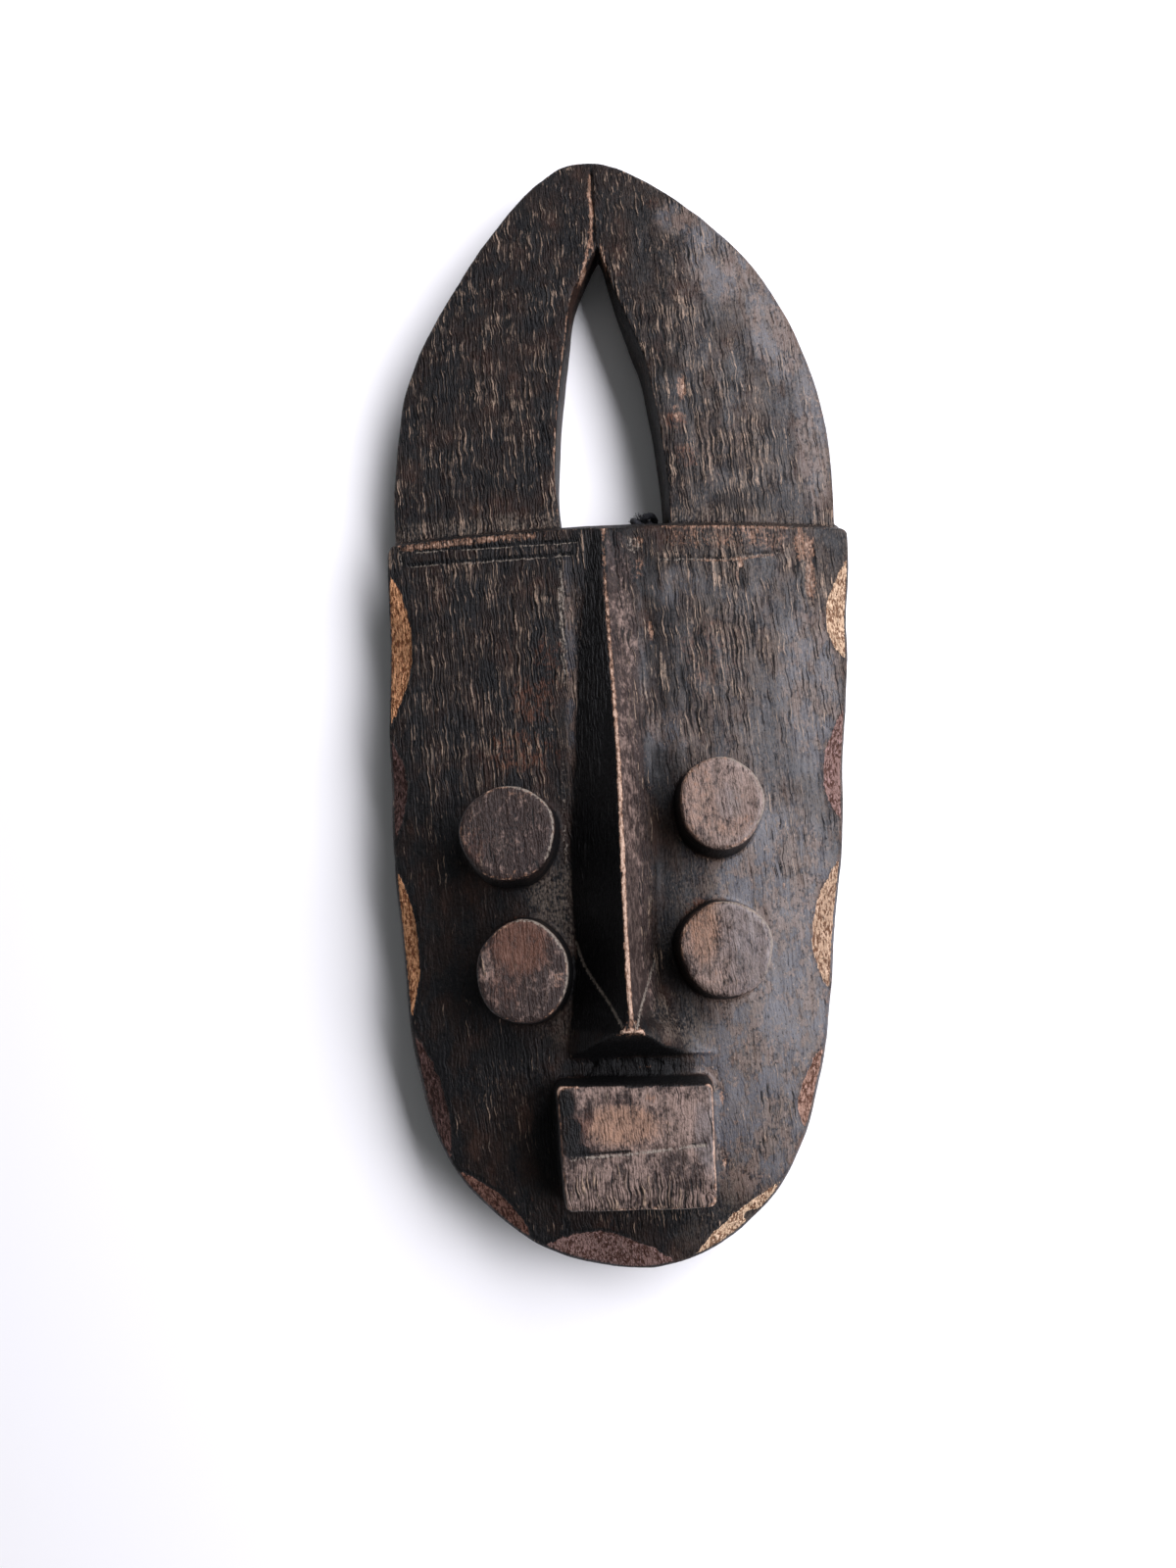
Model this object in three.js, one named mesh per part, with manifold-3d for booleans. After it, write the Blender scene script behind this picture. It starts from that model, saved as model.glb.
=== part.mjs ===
// Carved wooden face mask with two horns, lying on its back, and the cord it hangs from.
// Millimetres, +Z up out of the face, +Y towards the horns, +X to the viewer's right.
// Plan positions are measured from the midline of the face; the finished parts are then
// centred over the origin, with the back rim on Z = 0.

import * as THREE from 'three';
import { mergeVertices } from 'three/addons/utils/BufferGeometryUtils.js';
import loadManifold from 'manifold-3d';

// Face plate: a shallow dome with upright sides and a hollow back.
const plate = {
  stepY: 54.8,
  chinY: -222.6,
  rimHeight: 27,
  crown: 12,
  lowerDomeY: -119,
  lowerHalfWidth: 80,
  upperHalfWidth: 91.6,
  upperMidlineX: 6,
  sideInset: 2.4,
  sideLevels: [9, 18],
  outline: [
    [-85.2, 52.5], [-85.6, 30], [-85.6, -18], [-84.4, -67], [-80.5, -115], [-73.8, -161],
    [-61.8, -187.2], [-44.6, -205], [-20.4, -218.2], [0, -222.6], [23, -218.8], [42, -209.3],
    [59, -190.6], [72, -161], [80, -119], [87, -70], [92.3, -15], [96.6, 30], [97.8, 53],
  ],
  outlineSteps: 54,
  cornerRounding: [0.9, 1.5],
};

// The two horns meet above the window; they stand back behind a bevelled step.
const horns = {
  topY: 225,
  rootY: 46,
  edgeHeight: 20.5,
  crown: 10,
  midlineX: 5,
  halfWidth: 89,
  fallStartY: 90,
  backRise: 10,
  sideInset: 1.8,
  sideLevel: 12,
  bevelRun: 4.4,
  bevelDrop: 8,
  outline: [
    [-83.4, 58], [-82.8, 88], [-76.6, 128], [-58, 166], [-33, 203], [-17, 219.3],
    [-7, 224.4], [5, 224.6], [18, 218.8], [41, 202], [68, 172.5], [85.5, 136.5],
    [94, 98], [94, 58],
  ],
  outlineSteps: 46,
};

// The window between the horns: its edges as they show in front, and how they move behind.
const windowOpening = {
  frontHeight: 26,
  backHeight: 6,
  sillY: 59.2,
  apexFront: [2.9, 182],
  apexBack: [3.9, 187.5],
  leftFront: [
    [-16.2, 59.2], [-17.5, 79], [-16.4, 98], [-14.6, 119], [-11.3, 142], [-8.6, 158], [-3.6, 170],
  ],
  rightFront: [
    [27.4, 59.2], [27, 77], [25.6, 95], [23.4, 111], [20, 130], [15.4, 144], [9.6, 161],
  ],
  sideSteps: 12,
  leftInset: 0.6,
  rightInset: 0.8,
};

// The hollow back: a dome under the plate with rounded corners above a level rim.
const hollow = {
  wall: 13,
  rimWidth: 13,
  topWall: 14.5,
  corner: [{ inset: 0, z: 5 }, { inset: 6, z: 17 }, { inset: 21, z: 24 }],
};

// The crease where the two horns meet.
const seam = {
  path: [[1.6, 230], [1.7, 205], [1.9, 188], [2.9, 178]],
  width: 2.2,
  depth: 1.6,
};

// Nose sections from the top edge of the plate down to the tip.
const nose = {
  sections: [
    { y: 58, left: -4.4, ridge: 0.6, right: 10.4, height: 2.2 },
    { y: 50, left: -5.4, ridge: 0.5, right: 11.5, height: 2.6 },
    { y: 28, left: -9.2, ridge: 0.5, right: 13.5, height: 5 },
    { y: 0, left: -12.4, ridge: 1.4, right: 14.6, height: 9.5 },
    { y: -40, left: -15, ridge: 2.6, right: 15, height: 16.5 },
    { y: -80, left: -17, ridge: 2.4, right: 14.6, height: 23 },
    { y: -108, left: -16, ridge: 2.4, right: 13.4, height: 28 },
    { y: -122, left: -17.4, ridge: 2.6, right: 15.4, height: 30.5 },
  ],
  ridgeWidth: 1.6,
  rightBend: { across: 0.5, height: 0.36 },
  tip: { y: -136, left: -0.6, right: 6.8, height: 32, flareRight: 14, flareHeight: 13.5 },
  underside: [
    { y: -139.6, left: -19.5, innerLeft: -8.2, innerRight: 12, height: 20.6, flareRight: 14.2, flareHeight: 13.4 },
    { y: -143, left: -19.6, innerLeft: -14, innerRight: 15.4, height: 9.8, flareRight: 17.4, flareHeight: 8.4 },
  ],
  foot: { y: -146.2, left: -19.7, innerLeft: -18, innerRight: 19, outerRight: 21, right: 25.2 },
};

// Four round pegs stand for the eyes; each front disc is slightly out of round.
const eyes = {
  frontHeight: 59.5,
  baseFlare: 2.2,
  edgeWear: 1.1,
  sides: 30,
  pegs: [
    { x: -38.3, y: -65, rx: 16.9, ry: 17.1 },
    { x: -34.1, y: -114.3, rx: 16.1, ry: 18 },
    { x: 38.7, y: -57, rx: 15, ry: 16.7 },
    { x: 37.7, y: -108.8, rx: 16.2, ry: 16.7 },
  ],
};

const mouth = {
  frontHeight: 56,
  corners: [[-23.9, -154.1], [30.8, -154.9], [30.2, -196.4], [-21.8, -196.2]],
  cornerRadius: 4,
  baseFlare: 2.4,
  topFlare: 1.2,
  edgeWear: 1,
  line: [[-19.5, -178], [4, -176.8], [27.2, -174.9]],
};

const grooves = {
  width: 1.5,
  depth: 0.9,
  lines: [
    [[-79.5, 52.2], [-55.5, 50.7], [-32.2, 50], [-9.6, 50]],
    [[-76.8, 46.1], [-55.7, 45.3], [-32.4, 44.8], [-11.7, 44.9]],
    [[-80.4, 53.8], [-79.6, 46.9]],
    [[21.2, 42], [36.1, 41.9], [50.7, 42.1], [69.6, 44.8]],
  ],
};

// Crescents gouged into the rim: both ends and the point furthest in.
const crescents = {
  innerStep: 0.9,
  slope: 0.6,
  endSlope: 0.2,
  sections: 9,
  overhang: 9,
  bites: [
    { from: [-85.6, 45.5], deepest: [-75.8, 13], to: [-85.6, -18.5] },
    { from: [-85.5, -23], deepest: [-78.6, -42], to: [-84.4, -64] },
    { from: [-83.9, -73], deepest: [-75, -101.5], to: [-78.4, -132.5] },
    { from: [-78, -134.5], deepest: [-66.6, -156], to: [-64.2, -183.5] },
    { from: [-63.6, -185], deepest: [-45.4, -195.6], to: [-34.6, -211.5] },
    { from: [-31.6, -213.3], deepest: [-8.6, -208.6], to: [17, -220.3] },
    { from: [97.8, 45], deepest: [86.6, 19], to: [94, 1.5] },
    { from: [92.4, -16], deepest: [81.4, -42], to: [87.9, -62] },
    { from: [86.7, -73.5], deepest: [73.2, -102], to: [79, -126] },
    { from: [76.1, -143.5], deepest: [65, -160.8], to: [66.6, -176] },
    { from: [57.2, -193], deepest: [38.8, -203.6], to: [22, -219.2] },
  ],
};

// The hanging cord: both strands pass a bore under the sill and end in one knot.
const cord = {
  diameter: 3,
  sides: 8,
  bore: { x: 18, z: 12, radius: 4.2, sides: 20, fromY: 36, toY: 64 },
  route: [
    [16.3, 60.1, 10.3], [16.3, 50, 10.3], [16.2, 42, 10.1], [15.4, 34, 8.4], [13.8, 26, 5],
    [11.8, 18, 2.4], [8.6, 9, 1.7], [3.6, -2, 1.7], [-1.8, -15, 1.7], [-5, -30, 1.7],
    [-4, -46, 1.7], [4, -58, 1.7], [17, -62.5, 1.7], [29.5, -57, 1.7], [36, -44.5, 1.7],
    [35.6, -29, 1.7], [31.4, -14, 1.7], [26.8, -1, 1.7], [23.4, 9, 1.7], [21.2, 18, 2.4],
    [20.2, 26, 5], [19.8, 34, 8.4], [19.8, 42, 10.1], [19.7, 50, 10.3], [19.7, 60.1, 10.3],
  ],
  steps: 76,
  knot: { x: 18, y: 65.4, z: 12, width: 12, length: 10.4, height: 11.2 },
};

// The plank that the plate and the horns are carved from, and the heights past both of its faces.
const plank = { x: [-92, 104], plateY: [-228, 66], hornY: [40, 232] };
const BELOW = -4;
const ABOVE = 90;

const wasm = await loadManifold();
wasm.setup();

function toSolid(geometry) {
  const bare = geometry.clone();
  bare.deleteAttribute('normal');
  bare.deleteAttribute('uv');
  const merged = mergeVertices(bare, 1e-4);
  const mesh = new wasm.Mesh({
    numProp: 3,
    vertProperties: new Float32Array(merged.attributes.position.array),
    triVerts: new Uint32Array(merged.index.array),
  });
  return new wasm.Manifold(mesh);
}

function toGeometry(solid) {
  const mesh = solid.getMesh();
  const geometry = new THREE.BufferGeometry();
  geometry.setAttribute('position', new THREE.BufferAttribute(mesh.vertProperties, 3));
  geometry.setIndex(new THREE.BufferAttribute(mesh.triVerts, 1));
  return geometry;
}

// A closed geometry from corner points and triangles, with its faces turned outwards.
function closedGeometry(points, triangles) {
  let volume = 0;
  const normal = new THREE.Vector3();
  for (const [a, b, c] of triangles) {
    volume += normal.crossVectors(points[a], points[b]).dot(points[c]);
  }
  const outward = volume > 0 ? triangles : triangles.map(([a, b, c]) => [a, c, b]);
  const geometry = new THREE.BufferGeometry().setFromPoints(points);
  geometry.setIndex(outward.flat());
  return geometry;
}

// Joins a stack of loops of equal length, each seen whole from its centre, and closes both ends.
function loft(loops) {
  const count = loops[0].length;
  const points = loops.flat();
  const triangles = [];
  for (let ring = 0; ring < loops.length - 1; ring += 1) {
    for (let i = 0; i < count; i += 1) {
      const a = ring * count + i;
      const b = ring * count + ((i + 1) % count);
      triangles.push([a, b, b + count], [a, b + count, a + count]);
    }
  }
  for (const [ring, turn] of [[0, 1], [loops.length - 1, -1]]) {
    const centre = new THREE.Vector3();
    loops[ring].forEach((point) => centre.add(point));
    points.push(centre.divideScalar(count));
    for (let i = 0; i < count; i += 1) {
      const a = ring * count + i;
      const b = ring * count + ((i + 1) % count);
      triangles.push(turn > 0 ? [points.length - 1, b, a] : [points.length - 1, a, b]);
    }
  }
  return toSolid(closedGeometry(points, triangles));
}

// A block over a rectangle with a modelled top and a flat underside.
function fieldBlock([x0, x1], [y0, y1], nx, ny, top, underside) {
  const points = [];
  const triangles = [];
  for (let j = 0; j <= ny; j += 1) {
    for (let i = 0; i <= nx; i += 1) {
      const x = x0 + ((x1 - x0) * i) / nx;
      const y = y0 + ((y1 - y0) * j) / ny;
      points.push(new THREE.Vector3(x, y, top(x, y)));
    }
  }
  const at = (i, j) => j * (nx + 1) + i;
  for (let j = 0; j < ny; j += 1) {
    for (let i = 0; i < nx; i += 1) {
      triangles.push([at(i, j), at(i + 1, j), at(i + 1, j + 1)]);
      triangles.push([at(i, j), at(i + 1, j + 1), at(i, j + 1)]);
    }
  }
  const rim = [];
  for (let i = 0; i < nx; i += 1) rim.push(at(i, 0));
  for (let j = 0; j < ny; j += 1) rim.push(at(nx, j));
  for (let i = nx; i > 0; i -= 1) rim.push(at(i, ny));
  for (let j = ny; j > 0; j -= 1) rim.push(at(0, j));
  const first = points.length;
  rim.forEach((index) => points.push(new THREE.Vector3(points[index].x, points[index].y, underside)));
  points.push(new THREE.Vector3((x0 + x1) / 2, (y0 + y1) / 2, underside));
  rim.forEach((index, k) => {
    const next = (k + 1) % rim.length;
    triangles.push([index, first + k, first + next], [index, first + next, rim[next]]);
    triangles.push([first + k, points.length - 1, first + next]);
  });
  return toSolid(closedGeometry(points, triangles));
}

function smoothPath(keys, steps) {
  const curve = new THREE.SplineCurve(keys.map(([x, y]) => new THREE.Vector2(x, y)));
  return curve.getSpacedPoints(steps);
}

// Moves a closed outline inwards by a distance, keeping its corners.
function insetLoop(loop, distance) {
  const area = THREE.ShapeUtils.area(loop);
  const side = area > 0 ? 1 : -1;
  const leftOf = (a, b) => new THREE.Vector2(a.y - b.y, b.x - a.x).normalize().multiplyScalar(side);
  return loop.map((point, i) => {
    const before = loop[(i + loop.length - 1) % loop.length];
    const after = loop[(i + 1) % loop.length];
    const one = leftOf(before, point);
    const two = leftOf(point, after);
    const middle = one.clone().add(two).normalize();
    return point.clone().addScaledVector(middle, distance / Math.max(middle.dot(one), 0.4));
  });
}

const raise = (loop, z) => loop.map((point) => new THREE.Vector3(point.x, point.y, z));

function plateHeight(x, y) {
  const { lowerDomeY, lowerHalfWidth, upperHalfWidth, upperMidlineX } = plate;
  const upward = Math.max(0, y - lowerDomeY) / (plate.stepY - lowerDomeY);
  const downward = Math.max(0, lowerDomeY - y) / (lowerDomeY - plate.chinY);
  const midlineX = upperMidlineX * upward;
  const halfWidth = lowerHalfWidth + (upperHalfWidth - lowerHalfWidth) * upward;
  const across = (x - midlineX) / halfWidth;
  return plate.rimHeight + plate.crown * (1 - across * across - downward * downward);
}

function hornHeight(x, y) {
  const across = (x - horns.midlineX) / horns.halfWidth;
  const upward = Math.max(0, y - horns.fallStartY) / (horns.topY - horns.fallStartY);
  return horns.edgeHeight + horns.crown * Math.max(0, 1 - across * across - upward * upward);
}

// A V-shaped cut along a path over a surface.
function groove(path, width, depth, surface) {
  const lift = 3;
  const loops = path.map(([x, y], i) => {
    const [x0, y0] = path[Math.max(0, i - 1)];
    const [x1, y1] = path[Math.min(path.length - 1, i + 1)];
    const across = new THREE.Vector2(y0 - y1, x1 - x0).normalize().multiplyScalar(width / 2);
    const z = surface(x, y);
    const widening = 1 + lift / depth;
    const side = (sign) => new THREE.Vector3(
      x + sign * across.x * widening,
      y + sign * across.y * widening,
      z + lift,
    );
    return [new THREE.Vector3(x, y, z - depth), side(1), side(-1)];
  });
  return loft(loops);
}

function plateLoop() {
  const round = smoothPath(plate.outline, plate.outlineSteps);
  const left = round[0].x;
  const right = round[round.length - 1].x;
  const [near, far] = plate.cornerRounding;
  const top = plate.stepY + horns.bevelRun;
  return [
    ...round,
    new THREE.Vector2(right - near, plate.stepY),
    new THREE.Vector2(right - near - far, top),
    new THREE.Vector2(left + near + far, top),
    new THREE.Vector2(left + near, plate.stepY),
  ];
}

function platePanel() {
  const loop = plateLoop();
  const [lower, upper] = plate.sideLevels;
  const block = fieldBlock(plank.x, plank.plateY, 20, 26, plateHeight, BELOW);
  const sides = loft([
    raise(insetLoop(loop, plate.sideInset), 0),
    raise(insetLoop(loop, plate.sideInset / 6), lower),
    raise(loop, upper),
    raise(loop, ABOVE),
  ]);
  return block.intersect(sides);
}

// Cuts the upper edge of the plate back to the level of the horns.
function stepBevel() {
  const { stepY } = plate;
  const { bevelRun, bevelDrop } = horns;
  const past = 6;
  const lead = (past * bevelDrop) / bevelRun;
  const clearance = 40;
  const stations = [-130, -60, -30, 5, 40, 70, 130];
  return loft(stations.map((x) => {
    const z = plateHeight(x, stepY);
    return [
      new THREE.Vector3(x, stepY - past, z + lead),
      new THREE.Vector3(x, stepY + bevelRun, z - bevelDrop),
      new THREE.Vector3(x, stepY + bevelRun + past, z - bevelDrop),
      new THREE.Vector3(x, stepY + bevelRun + past, z + clearance),
      new THREE.Vector3(x, stepY - past, z + clearance),
    ];
  }));
}

function hornPanel() {
  const { rootY, topY, backRise } = horns;
  const round = smoothPath(horns.outline, horns.outlineSteps);
  const loop = [
    ...round,
    new THREE.Vector2(round[round.length - 1].x - 1, rootY),
    new THREE.Vector2(round[0].x + 1, rootY),
  ];
  const block = fieldBlock(plank.x, plank.hornY, 18, 18, hornHeight, BELOW);
  const sides = loft([
    raise(insetLoop(loop, horns.sideInset), 0),
    raise(insetLoop(loop, horns.sideInset / 6), horns.sideLevel),
    raise(loop, ABOVE),
  ]);
  const backStart = plate.stepY + horns.bevelRun;
  const backEnd = topY + 12;
  const liftedBack = loft([-120, 120].map((x) => [
    new THREE.Vector3(x, backStart, BELOW),
    new THREE.Vector3(x, backStart, 0),
    new THREE.Vector3(x, topY, backRise),
    new THREE.Vector3(x, backEnd, backRise),
    new THREE.Vector3(x, backEnd, BELOW),
  ]));
  return block.intersect(sides).subtract(liftedBack);
}

function windowCutter() {
  const w = windowOpening;
  const front = [
    ...smoothPath([...w.leftFront, w.apexFront], w.sideSteps),
    ...smoothPath([w.apexFront, ...[...w.rightFront].reverse()], w.sideSteps).slice(1),
  ];
  const back = front.map((point) => {
    const up = Math.max(0, point.y - w.sillY) / (w.apexFront[1] - w.sillY);
    const nearApex = up ** 4;
    const inset = point.x < w.apexFront[0] ? w.leftInset : -w.rightInset;
    return new THREE.Vector2(
      point.x + inset * (1 - nearApex) + (w.apexBack[0] - w.apexFront[0]) * nearApex,
      point.y + (w.apexBack[1] - w.apexFront[1]) * nearApex,
    );
  });
  const level = (z) => front.map((point, i) => {
    const share = (z - w.backHeight) / (w.frontHeight - w.backHeight);
    const x = back[i].x + (point.x - back[i].x) * share;
    const y = back[i].y + (point.y - back[i].y) * share;
    return new THREE.Vector3(x, y, z);
  });
  return loft([level(BELOW), level(w.backHeight), level(w.frontHeight), level(ABOVE / 2)]);
}

// The hollow's edge on the back: the rim width inside the outline, with a straight top.
function hollowLoop() {
  const topY = plate.stepY + horns.bevelRun - hollow.topWall;
  const loop = smoothPath(plate.outline, plate.outlineSteps);
  for (const end of [loop[0], loop[loop.length - 1]]) end.y = topY + hollow.rimWidth;
  return insetLoop(loop, hollow.rimWidth);
}

function hollowCutter() {
  const mouthLoop = hollowLoop();
  const ceiling = (x, y) => plateHeight(x, y) - hollow.wall;
  const block = fieldBlock(plank.x, plank.plateY, 12, 16, ceiling, BELOW);
  const sides = loft([
    raise(mouthLoop, BELOW - 1),
    ...hollow.corner.map(({ inset, z }) => raise(insetLoop(mouthLoop, inset), z)),
  ]);
  return block.intersect(sides);
}

function eyePeg({ x, y, rx, ry }) {
  const ring = (growth, z) => Array.from({ length: eyes.sides }, (_, i) => {
    const angle = (2 * Math.PI * i) / eyes.sides;
    const unevenness = 1 + 0.012 * Math.sin(3 * angle + x) + 0.01 * Math.cos(5 * angle + y);
    return new THREE.Vector3(
      x + (rx + growth) * unevenness * Math.cos(angle),
      y + (ry + growth) * unevenness * Math.sin(angle),
      z,
    );
  });
  const baseZ = plate.rimHeight - 3;
  return loft([
    ring(eyes.baseFlare, baseZ),
    ring(0, eyes.frontHeight - eyes.edgeWear),
    ring(-eyes.edgeWear, eyes.frontHeight),
  ]);
}

function mouthBlock() {
  const corners = mouth.corners.map(([x, y]) => new THREE.Vector2(x, y));
  const loop = corners.flatMap((corner, i) => {
    const before = corners[(i + 3) % 4].clone().sub(corner).setLength(mouth.cornerRadius);
    const after = corners[(i + 1) % 4].clone().sub(corner).setLength(mouth.cornerRadius);
    const bend = new THREE.QuadraticBezierCurve(
      corner.clone().add(before),
      corner,
      corner.clone().add(after),
    );
    return bend.getPoints(4);
  });
  const base = insetLoop(loop, -mouth.baseFlare).map((point) => {
    const upper = point.y > (corners[0].y + corners[3].y) / 2 ? mouth.topFlare : 0;
    return new THREE.Vector2(point.x, point.y + upper);
  });
  const block = loft([
    raise(base, plate.rimHeight - 3),
    raise(loop, mouth.frontHeight - mouth.edgeWear),
    raise(insetLoop(loop, mouth.edgeWear), mouth.frontHeight),
  ]);
  return block.subtract(groove(mouth.line, grooves.width, grooves.depth, () => mouth.frontHeight));
}

function noseRidge() {
  const { tip, foot, rightBend } = nose;
  const floorZ = plate.rimHeight - 3;
  const section = ({ y, left, ridge, right, height }) => {
    const base = plateHeight(ridge, y);
    const half = nose.ridgeWidth / 2;
    const at = (x, z) => new THREE.Vector3(x, y, z);
    return [
      at(left, floorZ),
      at(left, plateHeight(left, y) - 0.2),
      at(ridge - half, base + height),
      at(ridge + half, base + height),
      at(ridge + (right - ridge) * rightBend.across, base + height * rightBend.height),
      at(right, plateHeight(right, y) - 0.2),
      at(right, floorZ),
    ];
  };
  const tipBase = plateHeight(0, tip.y);
  const footZ = plateHeight(0, foot.y) - 0.3;
  const wing = foot.right - 4;
  const under = nose.underside.map(({ y, left, innerLeft, innerRight, height, flareRight, flareHeight }) => {
    const base = plateHeight(0, y);
    const share = (y - tip.y) / (foot.y - tip.y);
    const outer = wing + (foot.right - wing) * share;
    return [
      [left, floorZ],
      [left + 0.2, footZ],
      [innerLeft, base + height],
      [innerRight, base + height],
      [flareRight, base + flareHeight],
      [outer, footZ],
      [outer, floorZ],
    ].map(([x, z]) => new THREE.Vector3(x, y, z));
  });
  const flare = [
    [foot.left, floorZ],
    [foot.left + 0.6, footZ],
    [tip.left, tipBase + tip.height],
    [tip.right, tipBase + tip.height],
    [tip.flareRight, tipBase + tip.flareHeight],
    [wing, footZ + 0.6],
    [wing, floorZ],
  ].map(([x, z]) => new THREE.Vector3(x, tip.y, z));
  const bottom = [
    [foot.left, floorZ],
    [foot.left, footZ],
    [foot.innerLeft, footZ + 0.5],
    [foot.innerRight, footZ + 0.5],
    [foot.outerRight, footZ + 0.3],
    [foot.right, footZ],
    [foot.right, floorZ],
  ].map(([x, z]) => new THREE.Vector3(x, foot.y, z));
  return loft([...nose.sections.map(section), flare, ...under, bottom]);
}

// One crescent: a flat gouge that starts just under the surface and falls towards the rim.
function crescentCutter({ from, deepest, to }) {
  const [a, middle, b] = [from, deepest, to].map(([x, y]) => new THREE.Vector2(x, y));
  const halfway = a.clone().add(b).multiplyScalar(0.5);
  const control = middle.clone().multiplyScalar(2).sub(halfway);
  const inner = new THREE.QuadraticBezierCurve(a, control, b).getPoints(crescents.sections);
  const outward = new THREE.Vector2(b.y - a.y, a.x - b.x).normalize();
  if (outward.dot(middle.clone().sub(halfway)) > 0) outward.negate();
  const sections = inner.map((point, i) => {
    const t = i / crescents.sections;
    const swell = Math.sin(Math.PI * t);
    const onRim = a.clone().lerp(b, t);
    const outer = onRim.clone().addScaledVector(outward, crescents.overhang);
    const start = point.clone().addScaledVector(outward, -0.2);
    const startZ = plateHeight(start.x, start.y) - crescents.innerStep * swell - 0.05;
    const slope = crescents.endSlope + (crescents.slope - crescents.endSlope) * swell;
    const outerZ = startZ - slope * start.distanceTo(outer);
    return [
      new THREE.Vector3(start.x, start.y, startZ),
      new THREE.Vector3(outer.x, outer.y, outerZ),
      new THREE.Vector3(outer.x, outer.y, ABOVE),
      new THREE.Vector3(start.x, start.y, ABOVE),
    ];
  });
  return loft(sections);
}

function boreCutter() {
  const { x, z, radius, sides, fromY, toY } = cord.bore;
  const ring = (y) => Array.from({ length: sides }, (_, i) => {
    const angle = (2 * Math.PI * i) / sides;
    return new THREE.Vector3(x + radius * Math.cos(angle), y, z + radius * Math.sin(angle));
  });
  return loft([ring(fromY), ring(toY)]);
}

function carvedMask() {
  let mask = platePanel().subtract(stepBevel()).add(hornPanel());
  mask = mask.add(noseRidge().subtract(stepBevel()));
  mask = mask.subtract(windowCutter());
  for (const peg of eyes.pegs) mask = mask.add(eyePeg(peg));
  mask = mask.add(mouthBlock());
  mask = mask.subtract(hollowCutter());
  mask = mask.subtract(groove(seam.path, seam.width, seam.depth, hornHeight));
  for (const line of grooves.lines) {
    mask = mask.subtract(groove(line, grooves.width, grooves.depth, plateHeight));
  }
  for (const bite of crescents.bites) mask = mask.subtract(crescentCutter(bite));
  return toGeometry(mask.subtract(boreCutter()));
}

function hangingCord() {
  const route = new THREE.CatmullRomCurve3(cord.route.map((point) => new THREE.Vector3(...point)));
  const section = new THREE.Shape();
  for (let i = 0; i < cord.sides; i += 1) {
    const angle = (2 * Math.PI * (i + 0.5)) / cord.sides;
    const x = (cord.diameter / 2) * Math.cos(angle);
    const y = (cord.diameter / 2) * Math.sin(angle);
    if (i === 0) section.moveTo(x, y);
    else section.lineTo(x, y);
  }
  return new THREE.ExtrudeGeometry(section, { steps: cord.steps, extrudePath: route });
}

// The knot: a lumpy ball of cord, as wide as four strands.
function cordKnot() {
  const { x, y, z, width, length, height } = cord.knot;
  const ball = mergeVertices(bareSphere(0.5, 16, 12));
  const place = ball.attributes.position;
  for (let i = 0; i < place.count; i += 1) {
    const point = new THREE.Vector3().fromBufferAttribute(place, i);
    const lump = 1 - 0.07 * (1 + Math.sin(9 * point.x + 7 * point.z) * Math.cos(8 * point.y));
    place.setXYZ(i, x + width * point.x * lump, y + length * point.y * lump, z + height * point.z * lump);
  }
  return ball;
}

function bareSphere(radius, around, up) {
  const sphere = new THREE.SphereGeometry(radius, around, up);
  sphere.deleteAttribute('normal');
  sphere.deleteAttribute('uv');
  return sphere;
}

function named(name, geometry, material) {
  const mesh = new THREE.Mesh(geometry, material);
  mesh.name = name;
  return mesh;
}

const darkWood = new THREE.MeshStandardMaterial({ color: 0x2e2521, roughness: 0.72, metalness: 0 });
const blackCord = new THREE.MeshStandardMaterial({ color: 0x0d0e13, roughness: 0.95, metalness: 0 });

const mask = named('carved_mask', carvedMask(), darkWood);
const strands = named('hanging_cord', hangingCord(), blackCord);
const knot = named('cord_knot', cordKnot(), blackCord);

const model = new THREE.Group();
model.add(mask, strands, knot);
mask.geometry.computeBoundingBox();
const centre = mask.geometry.boundingBox.getCenter(new THREE.Vector3());
model.position.set(-centre.x, -centre.y, 0);

export default model;
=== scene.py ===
"""A carved wooden face mask with two horns, lying on its back on a pale floor.

Sizes in the classes are millimetres from the midline of the face, with +Y towards the horns
and +Z up out of the face. to_frame() takes a finished mesh into the frame's metres.
"""

import logging
import math
from dataclasses import dataclass
from enum import Enum

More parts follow.
